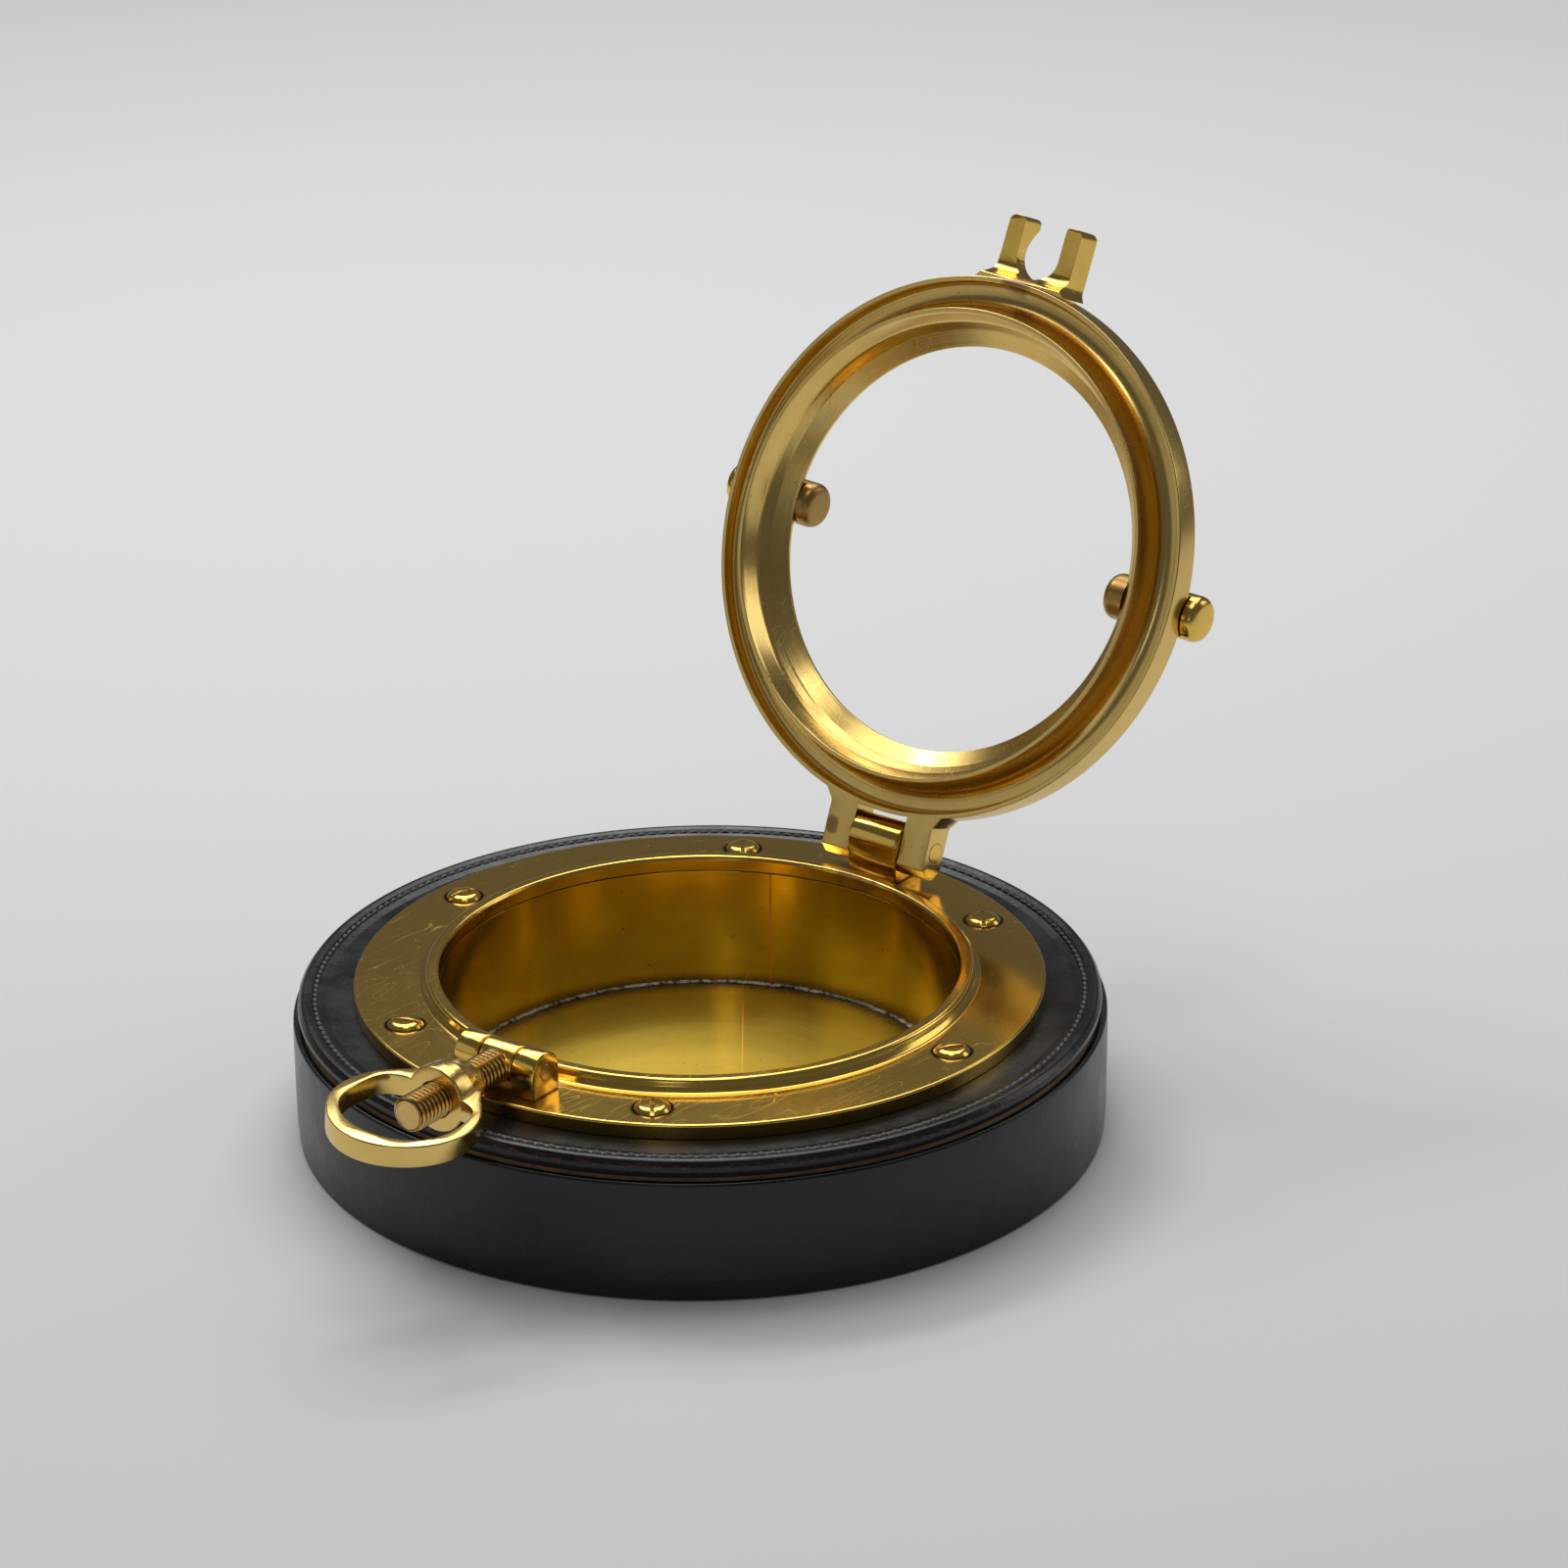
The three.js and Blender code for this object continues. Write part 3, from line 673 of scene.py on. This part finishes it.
class PORTHOLE_OT_stitches(bpy.types.Operator):
    """Sew the cover's border"""

    bl_idname = "porthole.stitches"
    bl_label = "Stitches"

    def execute(self, context):
        base, _, stage = settings()
        seam = COVER_RADIUS - base.stitch_inset / MM
        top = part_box("top_leather")[1].z / MM - 0.78
        count = round(2 * pi * seam / (base.stitch_pitch / MM))
        points, faces = [], []
        for index in range(count):
            wobble = noise.noise(Vector((index * 1.7, stage.seed, 0)))
            place = Matrix.Rotation(2 * pi * index / count, 4, "Z")
            place = place @ Matrix.Translation((seam + 0.12 * wobble, 0, top + 0.08 * wobble))
            place = place @ Matrix.Rotation(pi / 2 + 0.16 + 0.08 * wobble, 4, "Z")
            stitch, stitch_faces = stitch_points(base.stitch_pitch / MM * 0.78, len(points))
            points.extend(place @ point for point in stitch)
            faces.extend(stitch_faces)
        pale = tuple(min(1, shade * 3) for shade in base.thread)
        finish = fibre_finish("Waxed thread", pale, tuple(base.thread), 0.7)
        mesh = from_lists("border_stitches", points, faces)
        add_piece("border_stitches", mesh, finish, "base", "black_leather", sharp=70)
        return {"FINISHED"}


# ---- Flange, cup and screws ---------------------------------------------------------------------
def screw_centres():
    """Each screw's node and the place of its axis."""
    names = sorted(node for node in frame["nodes"] if node.startswith("flange_screw_"))
    for name in names:
        low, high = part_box(name)
        yield name, (low.x + high.x) / 2 / MM, (low.y + high.y) / 2 / MM


def flange_mesh():
    """The flange: flat land, soft outer edge, a hollow at the rim's foot and a rounded rim."""
    mesh = turned("flange", rounded([
        (71.2, FLANGE_LOW, 0.2), (FLANGE_RADIUS - 0.1, FLANGE_LOW, 0.3), (FLANGE_RADIUS, FLANGE_TOP, 0.75),
        (75.2, FLANGE_TOP, 1.4), (74.1, FLANGE_TOP + 1.5, 0.8), (73.6, RIM_TOP, 1.5),
        (CUP_RADIUS + 0.5, RIM_TOP, 0.9), (CUP_RADIUS, 44.2, 0.5), (CUP_RADIUS, 41, 0.1), (71.2, 41, 0.1),
    ], 10))
    for _, x, y in screw_centres():
        outline = [(0, 30), (2.4, 30), (2.4, 38.7), (5.25, FLANGE_TOP - 0.1), (5.55, 44), (0, 44)]
        sink = turned("sink", outline, 48)
        mesh = combined(mesh, moved(sink, Matrix.Translation(Vector((x, y, 0)) * MM)), "DIFFERENCE")
    return mesh


class PORTHOLE_OT_flange(bpy.types.Operator):
    """Turn the flange ring"""

    bl_idname = "porthole.flange"
    bl_label = "Flange"

    def execute(self, context):
        _, brass, _ = settings()
        clamp = PIVOT / MM
        stains = [((0, HINGE.y / MM - 3, FLANGE_TOP), 17.0), ((clamp.x, clamp.y, FLANGE_TOP), 17.0)]
        # Painted shade round each screw's sink, where the head meets the flange.
        shaded_gaps = [((x, y), 6.1, 5.4) for _, x, y in screw_centres()]
        finish = brass_finish("Flange brass", tuple(brass.polished), 0.15, "round", 0.4, stains, shaded_gaps=shaded_gaps)
        add_piece("flange", flange_mesh(), finish, "base", "polished_brass", "flange_ring", sharp=50)
        return {"FINISHED"}


class PORTHOLE_OT_cup(bpy.types.Operator):
    """Form the deep cup: wall, floor and the solder between them"""

    bl_idname = "porthole.cup"
    bl_label = "Cup"

    def execute(self, context):
        wall = turned("wall", rounded([
            (CUP_RADIUS, CUP_FLOOR, 0.1), (CUP_RADIUS + SHEET, CUP_FLOOR, 0.1),
            (CUP_RADIUS + SHEET, 40.7, 0.1), (CUP_RADIUS, 40.7, 0.1),
        ]))
        floor = turned("floor", [
            (0, 5), (CUP_RADIUS + SHEET, 5), (CUP_RADIUS + SHEET, CUP_FLOOR),
            *((radius, CUP_FLOOR) for radius in range(68, 0, -4)), (0, CUP_FLOOR),
        ])
        wall_finish = cup_finish("Cup wall brass", "wall", 19.0, 0.0, 0.55)
        floor_finish = cup_finish("Cup floor brass", "floor", 11.0, -70.0, 0.22)
        add_piece("cup_side", wall, wall_finish, "base", "aged_brass", "cup_wall")
        add_piece("cup_bottom", floor, floor_finish, "base", "aged_brass", "cup_floor")
        bead = turned("bead", rounded([
            (CUP_RADIUS - 1.0, CUP_FLOOR + 0.02, 0.2), (CUP_RADIUS - 0.02, CUP_FLOOR + 0.02, 0),
            (CUP_RADIUS - 0.02, CUP_FLOOR + 0.9, 0.2),
        ]))
        for vert in bead.vertices:
            reach = Vector((vert.co.x, vert.co.y, 0))
            inward = max(0, CUP_RADIUS * MM - 0.00005 - reach.length)
            vert.co -= reach.normalized() * inward * 0.9 * noise.noise(vert.co * 400)
        add_piece("cup_solder", bead, solder_finish(), "base", "aged_brass")
        return {"FINISHED"}


# How far each screw happened to be turned, in degrees.
SLOT_ANGLES = {"1": 78, "2": 128, "3": 128, "4": 55, "5": 128, "6": 20}


def screw_mesh(slot_degrees):
    """A wood screw with a raised, slotted head."""
    head = turned("screw", rounded([
        (0, 22, 0), (2.1, 24.5, 0.5), (2.1, 39, 0.5), (4.95, FLANGE_TOP - 0.3, 0.12),
        (4.9, FLANGE_TOP + 0.1, 0.25), (3.6, 43.15, 3.0), (0, 43.3, 0),
    ], 8), SMALL_SIDES)
    slot = prism("slot", [(-7, -0.55), (7, -0.55), (7, 0.55), (-7, 0.55)], 42.05, 44)
    slot.transform(Matrix.Rotation(radians(slot_degrees), 4, "Z"))
    return softened(combined(head, slot, "DIFFERENCE"), 0.09, 2, 40)


class PORTHOLE_OT_screws(bpy.types.Operator):
    """Drive the six slotted screws"""

    bl_idname = "porthole.screws"
    bl_label = "Screws"

    def execute(self, context):
        _, brass, _ = settings()
        # Painted shade on the rim of each screw head, where it meets the flange.
        finish = brass_finish("Screw brass", tuple(brass.polished), 0.17, "X", 0.5, lines=0.003,
                              shaded_gaps=[((0, 0), 4.5, 4.95)])
        for name, x, y in screw_centres():
            place = Matrix.Translation(Vector((x, y, 0)) * MM)
            add_piece(name.replace("flange_", ""), screw_mesh(SLOT_ANGLES[name[-1]]), finish, "base",
                      "polished_brass", name, place=place)
        return {"FINISHED"}


# ---- Hinge --------------------------------------------------------------------------------------
def arch(y, z, radius, foot, steps=24):
    """A side outline with a flat foot and a half-round top."""
    points = [(y - radius, foot), (y + radius, foot)]
    for step in range(steps + 1):
        angle = pi * step / steps
        points.append((y + radius * cos(angle), z + radius * sin(angle)))
    return points


class PORTHOLE_OT_hinge(bpy.types.Operator):
    """Make the hinge's knuckle and its pin"""

    bl_idname = "porthole.hinge"
    bl_label = "Hinge"

    def execute(self, context):
        _, brass, _ = settings()
        y, z = HINGE.y / MM, HINGE.z / MM
        low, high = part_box("hinge_knuckle")
        outline = arch(y, z, (high.y - low.y) / 2 / MM, FLANGE_TOP)
        body = softened(prism("knuckle", outline, low.x / MM, high.x / MM, "X"), 0.55, 4)
        hole = round_bar(HINGE_PIN + 0.15, -20, 20, y, z)
        stains = [((-6, y - 8, FLANGE_TOP), 5.0), ((7, y - 8, FLANGE_TOP), 5.0)]
        finish = brass_finish("Knuckle brass", tuple(brass.polished), 0.13, "X", 0.4, stains)
        add_piece("hinge_barrel", combined(body, hole, "DIFFERENCE"), finish, "base", "polished_brass",
                  "hinge_knuckle")
        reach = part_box("hinge_pin")[1].x / MM
        pin = round_bar(HINGE_PIN, -reach, reach, y, z, SMALL_SIDES, 0.35)
        pin_finish = brass_finish("Pin brass", tuple(brass.polished), 0.2, "Z", 0.5)
        add_piece("hinge_rivet", pin, pin_finish, "lid", "polished_brass", "hinge_pin", place=LID_PLACE)
        return {"FINISHED"}


# ---- Lid, drawn closed --------------------------------------------------------------------------
LIP = 47.3
LID_RADIUS = 75.9
OPENING = 56.9


def lug_mesh(side):
    """One hinge lug, with small fillets where it leaves the ring."""
    inner, outer = 8.5 * side, 17.5 * side
    flare = 2.6 * side
    plan = rounded([
        (inner, 66, 0), (inner, 91.3, 0.5), (outer, 91.3, 0.9), (outer, 76.4, 2.0), (outer + flare, 73.2, 0),
        (outer + flare, 66, 0),
    ])
    profile = rounded([
        (60, LIP, 0), (88.9, LIP, 0.6), (91.3, 50.2, 0.8), (91.1, 53.4, 0.8), (88.4, 55.8, 0.8),
        (60, 55.8, 0),
    ])
    block = prism("lug", plan, LIP - 1, 58)
    bounds = prism("lug_side", profile, -30, 30, "X")
    return softened(combined(block, bounds, "INTERSECT"), 0.4, 3)


def ring_mesh():
    """The lid ring: flat lip, coved channel, a bead that dips into the cup and a slope up to the opening."""
    ring = turned("ring", rounded([
        (OPENING, 53.75, 0.12), (57.5, 53.35, 0.15), (61.2, 50.75, 0.15), (61.6, 50.3, 0.15),
        (63.6, 48.3, 3.2), (64.7, 42.6, 1.2), (65.0, 41.5, 0.3), (66.2, 41.5, 0.3), (66.6, 43.6, 0.8),
        (68.0, 51.2, 5.5), (74.6, 51.6, 3.6), (74.6, LIP, 0.22), (LID_RADIUS, LIP, 0.3),
        (LID_RADIUS + 0.3, 55.2, 0.8), (66, 56.1, 6), (58.2, 55.4, 1.6), (OPENING, 54.7, 0.4),
    ], 10))
    hollow = turned("hollow", [(0, 40), (74.7, 40), (74.7, 57), (0, 57)])
    for side in (-1, 1):
        ring = combined(ring, combined(lug_mesh(side), hollow.copy(), "DIFFERENCE"), "UNION")
    return combined(ring, round_bar(HINGE_PIN + 0.05, -20, 20, HINGE.y / MM, HINGE.z / MM), "DIFFERENCE")


class PORTHOLE_OT_ring(bpy.types.Operator):
    """Cast and turn the lid ring with its lugs"""

    bl_idname = "porthole.ring"
    bl_label = "Lid ring"

    def execute(self, context):
        _, brass, _ = settings()
        stains = [((-15.7, HINGE.y / MM, LIP), 3.2), ((3, -76, 49), 6.0)]
        finish = brass_finish("Ring brass", tuple(brass.ring), 0.21, "round", 0.45, stains)
        add_piece("lid_ring", ring_mesh(), finish, "lid", "polished_brass", "sash_ring", place=LID_PLACE,
                  sharp=42)
        return {"FINISHED"}


def fork_mesh():
    """The clamp fork: two prongs round a slot, with a conical seat for the nut on its far side.

    It is drawn straight and then turned a little, to meet the swing bolt.
    """
    root, half, slot, tip, centre = 15.0, 12.3, 6.95, -94.2, -84.3
    arc = [(slot * cos(pi * k / 20), centre + slot * sin(pi * k / 20)) for k in range(21)]
    outline = rounded([
        (-slot, tip, 1.6), (-half, tip, 2.8), (-half, -77.4, 3.0), (-root, -75.0, 0), (-root, -70, 0),
        (root, -70, 0), (root, -75.0, 0), (half, -77.4, 3.0), (half, tip, 2.8), (slot, tip, 1.6),
        *((x, y, 0) for x, y in arc),
    ], 8)
    plan = prism("plan", outline, 44, 68)
    side = rounded([
        (-73, 48.7, 0), (-76.4, 48.7, 0.5), (-79.0, 54.0, 3.2), (-84, 54.2, 2), (-94.5, 54.2, 1.0),
        (-94.5, 62.4, 1.8), (-78, 62.4, 3.0), (-73, 58.0, 0),
    ], 8)
    fork = combined(plan, prism("side", side, -20, 20, "X"), "INTERSECT")
    wall = turned("wall", [(0, 40), (LID_RADIUS + 0.5, 40), (LID_RADIUS + 0.5, 70), (0, 70)])
    seat = turned("seat", [(0, 58.4), (slot, 58.4), (9.9, 62.4), (10.4, 64), (0, 64)], 96)
    fork = combined(fork, wall, "DIFFERENCE")
    fork = combined(fork, moved(seat, Matrix.Translation((0, centre * MM, 0))), "DIFFERENCE")
    fork = softened(fork, 1.0, 5, 40)
    fork.transform(Matrix.Rotation(radians(2.65), 4, "Z"))
    return fork


class PORTHOLE_OT_fork(bpy.types.Operator):
    """Make the clamp fork"""

    bl_idname = "porthole.fork"
    bl_label = "Clamp fork"

    def execute(self, context):
        _, brass, _ = settings()
        finish = brass_finish("Fork brass", tuple(brass.polished), 0.15, "Y", 0.4, [((4, -76, 50), 5.0)])
        add_piece("fork", fork_mesh(), finish, "lid", "polished_brass", "clamp_fork", place=LID_PLACE)
        return {"FINISHED"}


def rest_mesh(side):
    """A round bar with rounded ends, sunk into the ring's outer face."""
    radius, axis = 6.5, 59.4
    inner = 52.3 if side < 0 else 49.7
    outer = inner + 30.5
    outline = rounded([(0, inner, 0), (radius, inner, 4.4), (radius, outer, 4.4), (0, outer, 0)], 12)
    bar = turned("rest", outline, SMALL_SIDES)
    bar.transform(Matrix.Rotation(side * pi / 2, 4, "Y"))
    bar.transform(Matrix.Rotation(radians(2), 4, "Z") @ Matrix.Translation((0, 0, axis * MM)))
    outside, top = LID_RADIUS + 0.6, 56.2
    body = turned("body", [(OPENING - 0.3, 50), (outside, 50), (outside, top), (OPENING - 0.3, top)])
    return combined(bar, body, "DIFFERENCE")


class PORTHOLE_OT_rests(bpy.types.Operator):
    """Make the two rests across the lid"""

    bl_idname = "porthole.rests"
    bl_label = "Rests"

    def execute(self, context):
        _, brass, _ = settings()
        for name, side in (("left", -1), ("right", 1)):
            stains = [((side * 53, 1.8 * side, 59), 13.0)]
            finish = brass_finish(f"Rest brass {name}", tuple(brass.polished), 0.17, "X", 0.6, stains)
            add_piece(f"{name}_rest", rest_mesh(side), finish, "lid", "aged_brass", f"rest_{name}",
                      place=LID_PLACE, sharp=50)
        return {"FINISHED"}


# ---- Swing bolt, drawn from its pivot -----------------------------------------------------------
EAR_INNER = 5.7
EAR_OUTER = 13.1
EAR_RADIUS = 5.4
CLAMP_PIN = 2.25
ROD_RADIUS = 4.85
ROD_START = 4.2
ROD_END = 39.6
NUT_BORE = 5.15


class PORTHOLE_OT_ears(bpy.types.Operator):
    """Make the two clamp ears and their pin"""

    bl_idname = "porthole.ears"
    bl_label = "Clamp ears"

    def execute(self, context):
        _, brass, _ = settings()
        foot = FLANGE_TOP - PIVOT.z / MM
        for name, side in (("left", -1), ("right", 1)):
            low, high = sorted((side * EAR_INNER, side * EAR_OUTER))
            ear = softened(prism("ear", arch(0, 0, EAR_RADIUS, foot), low, high, "X"), 0.6, 4)
            ear = combined(ear, round_bar(CLAMP_PIN + 0.05, -20, 20), "DIFFERENCE")
            stains = [((side * EAR_OUTER, -4, foot), 5.5), ((side * EAR_OUTER, 0, 0), 4.6)]
            finish = brass_finish(f"Ear brass {name}", tuple(brass.polished), 0.14, "Y", 0.4, stains)
            add_piece(f"{name}_ear", ear, finish, "base", "polished_brass", f"clamp_ear_{name}",
                      place=CLAMP_PLACE)
        reach = EAR_OUTER + 0.12
        pin = round_bar(CLAMP_PIN, -reach, reach, sides=32, end=0.3)
        finish = brass_finish("Clamp pin brass", tuple(brass.pin), 0.3, "Y", 0.8)
        add_piece("clamp_rivet", pin, finish, "base", "aged_brass", "clamp_pin", place=CLAMP_PLACE)
        return {"FINISHED"}


def threaded_rod(radius, start, end, pitch, sides=72, rows_per_turn=14):
    """A rod along -Y with a helical thread, a chamfered tip and flat ends."""
    depth = 0.62 * pitch
    rows = round((end - start) / pitch * rows_per_turn)
    points, faces = [], []
    for row in range(rows + 1):
        reach = start + (end - start) * row / rows
        limit = min(radius, radius - 0.45 + (end - reach) * 0.8)
        for side in range(sides):
            turn = side / sides
            wave = abs(((reach / pitch - turn) % 1.0) * 2 - 1)
            r = min(radius - depth * min(1, max(0, wave * 1.5 - 0.25)), limit)
            points.append((r * cos(2 * pi * turn), -reach, r * sin(2 * pi * turn)))
    for row in range(rows):
        for side in range(sides):
            a, b = row * sides + side, row * sides + (side + 1) % sides
            faces.append((a, b, b + sides, a + sides))
    faces += [tuple(range(sides)), tuple(rows * sides + k for k in range(sides))]
    return from_lists("rod", points, faces)


class PORTHOLE_OT_bolt(bpy.types.Operator):
    """Make the swing bolt: barrel eye and threaded rod"""

    bl_idname = "porthole.bolt"
    bl_label = "Swing bolt"

    def execute(self, context):
        _, brass, _ = settings()
        outline = rounded([(2.45, -5.4, 0.2), (5.2, -5.4, 0.6), (5.2, 5.4, 0.6), (2.45, 5.4, 0.2)])
        eye = moved(turned("eye", outline, SMALL_SIDES), Matrix.Rotation(pi / 2, 4, "Y"))
        rod = threaded_rod(ROD_RADIUS, ROD_START, ROD_END, brass.thread_pitch / MM)
        eye_finish = brass_finish("Eye brass", tuple(brass.polished), 0.16, "Y", 0.6)
        # The rod's thread roots get painted shade.
        rod_finish = brass_finish("Rod brass", tuple(brass.rod), 0.2, "Z", 0.8, lines=0.003,
                                  valley=(ROD_RADIUS - 0.9, ROD_RADIUS - 0.25))
        add_piece("bolt_eye", eye, eye_finish, "bolt", "aged_brass", "swing_bolt", place=CLAMP_PLACE)
        add_piece("bolt_rod", rod, rod_finish, "bolt", "aged_brass", place=CLAMP_PLACE, sharp=60)
        return {"FINISHED"}


def bezier(start, first, second, end, steps=14):
    """Points along a cubic curve, without its last one."""
    out = []
    for step in range(steps):
        t = step / steps
        out.append(tuple(
            a * (1 - t) ** 3 + 3 * b * t * (1 - t) ** 2 + 3 * c * t ** 2 * (1 - t) + d * t ** 3
            for a, b, c, d in zip(start, first, second, end)
        ))
    return out


def loop_outline(neck, shoulder, half, widest, end, round_end):
    """A pear-shaped loop outline, from its neck round the far end and back."""
    points = bezier(neck, shoulder, (-half, -widest + 12), (-half, -widest))
    points += bezier((-half, -widest), (-half, -widest - 9), (-round_end, -end), (0, -end))
    mirrored = [(-x, y) for x, y in reversed(points)]
    return points + [(0, -end)] + mirrored


def nut_mesh():
    """The ring nut: a conical hub and a flat pear-shaped loop."""
    thick, half, widest, end, band, face = 6.2, 19.7, 42, 61.6, 3.6, 28.7
    hub = turned("hub", rounded([
        (0, 16.7, 0), (6.7, 16.7, 0.6), (7.4, 19.7, 1.5), (8.8, 22.9, 1.6), (9, 25.5, 1), (9, face, 0.8),
        (0, face, 0),
    ]), 96)
    hub.transform(Matrix.Rotation(pi / 2, 4, "X"))
    outer = prism("outer", loop_outline((-9, -21), (-12, -27), half, widest, end, 11), -thick / 2, thick / 2)
    inner = prism("inner", loop_outline((-9.5, -face), (-13, -30), half - band, widest, end - 5, 9), -10, 10)
    loop = softened(combined(outer, inner, "DIFFERENCE"), 0.45, 3)
    nut = combined(loop, hub, "UNION")
    bore = moved(round_bar(NUT_BORE, -45, 45), Matrix.Rotation(pi / 2, 4, "Z"))
    nut = combined(nut, bore, "DIFFERENCE")
    nut.transform(Matrix.Rotation(radians(6), 4, "Y"))
    return nut


class PORTHOLE_OT_nut(bpy.types.Operator):
    """Make the ring nut"""

    bl_idname = "porthole.nut"
    bl_label = "Ring nut"

    def execute(self, context):
        _, brass, _ = settings()
        finish = brass_finish("Nut brass", tuple(brass.nut), 0.2, "Y", 0.3, lines=0.003)
        add_piece("finger_nut", nut_mesh(), finish, "nut", "polished_brass", "ring_nut", place=CLAMP_PLACE)
        return {"FINISHED"}


# ---- Stage --------------------------------------------------------------------------------------
AIM = Vector((-2.8, 41.4, 81.9))
FLOOR_HALF = 4000

# Each light's name, place from the lit point (to the right, away, up), size and share of the key's power.
LIT = Vector((0, 0, 0.05))
LIGHTS = (
    ("overhead_softbox", (-0.1, 0.9, 1.6), (2.0, 1.6), 1.0),
    ("strip_light", (-0.35, 0.75, 1.1), (1.0, 0.18), 0.17),
    ("top_light", (0.0, -0.15, 1.35), (0.45, 0.45), 0.08),
    ("front_card", (-0.32, -1.6, 0.46), (0.3, 0.45), 0.022),
    ("left_card", (-1.7, -0.5, 0.55), (1.1, 1.0), 0.05),
    ("right_softbox", (1.6, 0.5, 0.8), (0.7, 1.0), 0.14),
)


def view_frame(stage):
    """The camera's right, up and forward directions in the model's frame."""
    forward = Vector((-sin(stage.azimuth) * cos(stage.elevation), cos(stage.azimuth) * cos(stage.elevation),
                      -sin(stage.elevation)))
    right = Vector((cos(stage.azimuth), sin(stage.azimuth), 0))
    up = right.cross(forward)
    turn = Matrix.Rotation(-stage.roll, 3, forward)
    return turn @ right, turn @ up, forward


def add_light(name, place, aim, size, power):
    """A rectangular light turned to face its aim."""
    data = bpy.data.lights.new(name, "AREA")
    data.shape = "RECTANGLE"
    data.size, data.size_y = size
    data.energy = power
    light = bpy.data.objects.new(name, data)
    bpy.context.collection.objects.link(light)
    light.location = place
    light.rotation_euler = (aim - place).to_track_quat("-Z", "Y").to_euler()


def add_camera(stage):
    """The camera, at its distance from the point that it aims at."""
    right, up, forward = view_frame(stage)
    camera = bpy.data.objects.new("camera", bpy.data.cameras.new("camera"))
    bpy.context.collection.objects.link(camera)
    camera.data.lens = stage.lens
    camera.data.sensor_width = 36
    turn = Matrix((right, up, -forward)).transposed().to_4x4()
    camera.matrix_world = Matrix.Translation(AIM * MM - forward * stage.distance) @ turn
    bpy.context.scene.camera = camera


def add_floor(shade):
    """A wide sheet of pale paper."""
    half = FLOOR_HALF
    corners = [(-half, -half, 0), (half, -half, 0), (half, half, 0), (-half, half, 0)]
    mesh = from_lists("floor", corners, [(0, 1, 2, 3)])
    floor = bpy.data.objects.new("floor", mesh)
    bpy.context.collection.objects.link(floor)
    recipe = Recipe("Seamless paper")
    recipe.finish(Base_Color=shade, Roughness=0.9)
    mesh.materials.append(recipe.material)


class PORTHOLE_OT_stage(bpy.types.Operator):
    """Set the floor, the soft lights and the camera"""

    bl_idname = "porthole.stage"
    bl_label = "Stage"

    def execute(self, context):
        _, _, stage = settings()
        add_camera(stage)
        add_floor(tuple(stage.floor))
        across = Vector((cos(stage.azimuth), sin(stage.azimuth), 0))
        ahead = Vector((-sin(stage.azimuth), cos(stage.azimuth), 0))
        for name, (sideways, away, height), size, share in LIGHTS:
            place = LIT + across * sideways + ahead * away + Vector((0, 0, height))
            add_light(name, place, LIT, size, stage.key_power * share)
        world = bpy.data.worlds.new("studio")
        world.use_nodes = True
        world.node_tree.nodes["Background"].inputs["Color"].default_value = (0.105, 0.105, 0.11, 1)
        context.scene.world = world
        context.scene.view_settings.view_transform = "Standard"
        return {"FINISHED"}


# ---- Panel and registration ---------------------------------------------------------------------
STEPS = (
    PORTHOLE_OT_stage, PORTHOLE_OT_core, PORTHOLE_OT_band, PORTHOLE_OT_cover, PORTHOLE_OT_stitches,
    PORTHOLE_OT_flange, PORTHOLE_OT_cup, PORTHOLE_OT_screws, PORTHOLE_OT_hinge, PORTHOLE_OT_ring,
    PORTHOLE_OT_fork, PORTHOLE_OT_rests, PORTHOLE_OT_ears, PORTHOLE_OT_bolt, PORTHOLE_OT_nut,
)


class PORTHOLE_PT_panel(bpy.types.Panel):
    """Lists the dish's sizes, colours and pieces"""

    bl_idname = "PORTHOLE_PT_panel"
    bl_label = "Porthole Dish"
    bl_space_type = "VIEW_3D"
    bl_region_type = "UI"
    bl_category = "Porthole"

    def draw(self, context):
        for group in settings():
            box = self.layout.box()
            for name in group.__annotations__:
                box.prop(group, name)
        for step in STEPS:
            self.layout.operator(step.bl_idname)


GROUPS = {
    "porthole_base": PORTHOLE_PG_base,
    "porthole_brass": PORTHOLE_PG_brass,
    "porthole_stage": PORTHOLE_PG_stage,
}


def register():
    for part in (*GROUPS.values(), *STEPS, PORTHOLE_PT_panel):
        bpy.utils.register_class(part)
    for name, group in GROUPS.items():
        setattr(bpy.types.Scene, name, PointerProperty(type=group))


def unregister():
    for name in GROUPS:
        delattr(bpy.types.Scene, name)
    for part in (PORTHOLE_PT_panel, *reversed(STEPS), *GROUPS.values()):
        bpy.utils.unregister_class(part)


def main():
    register()
    for step in STEPS:
        getattr(bpy.ops.porthole, step.bl_idname.split(".")[1])()


if __name__ == "__main__":
    main()
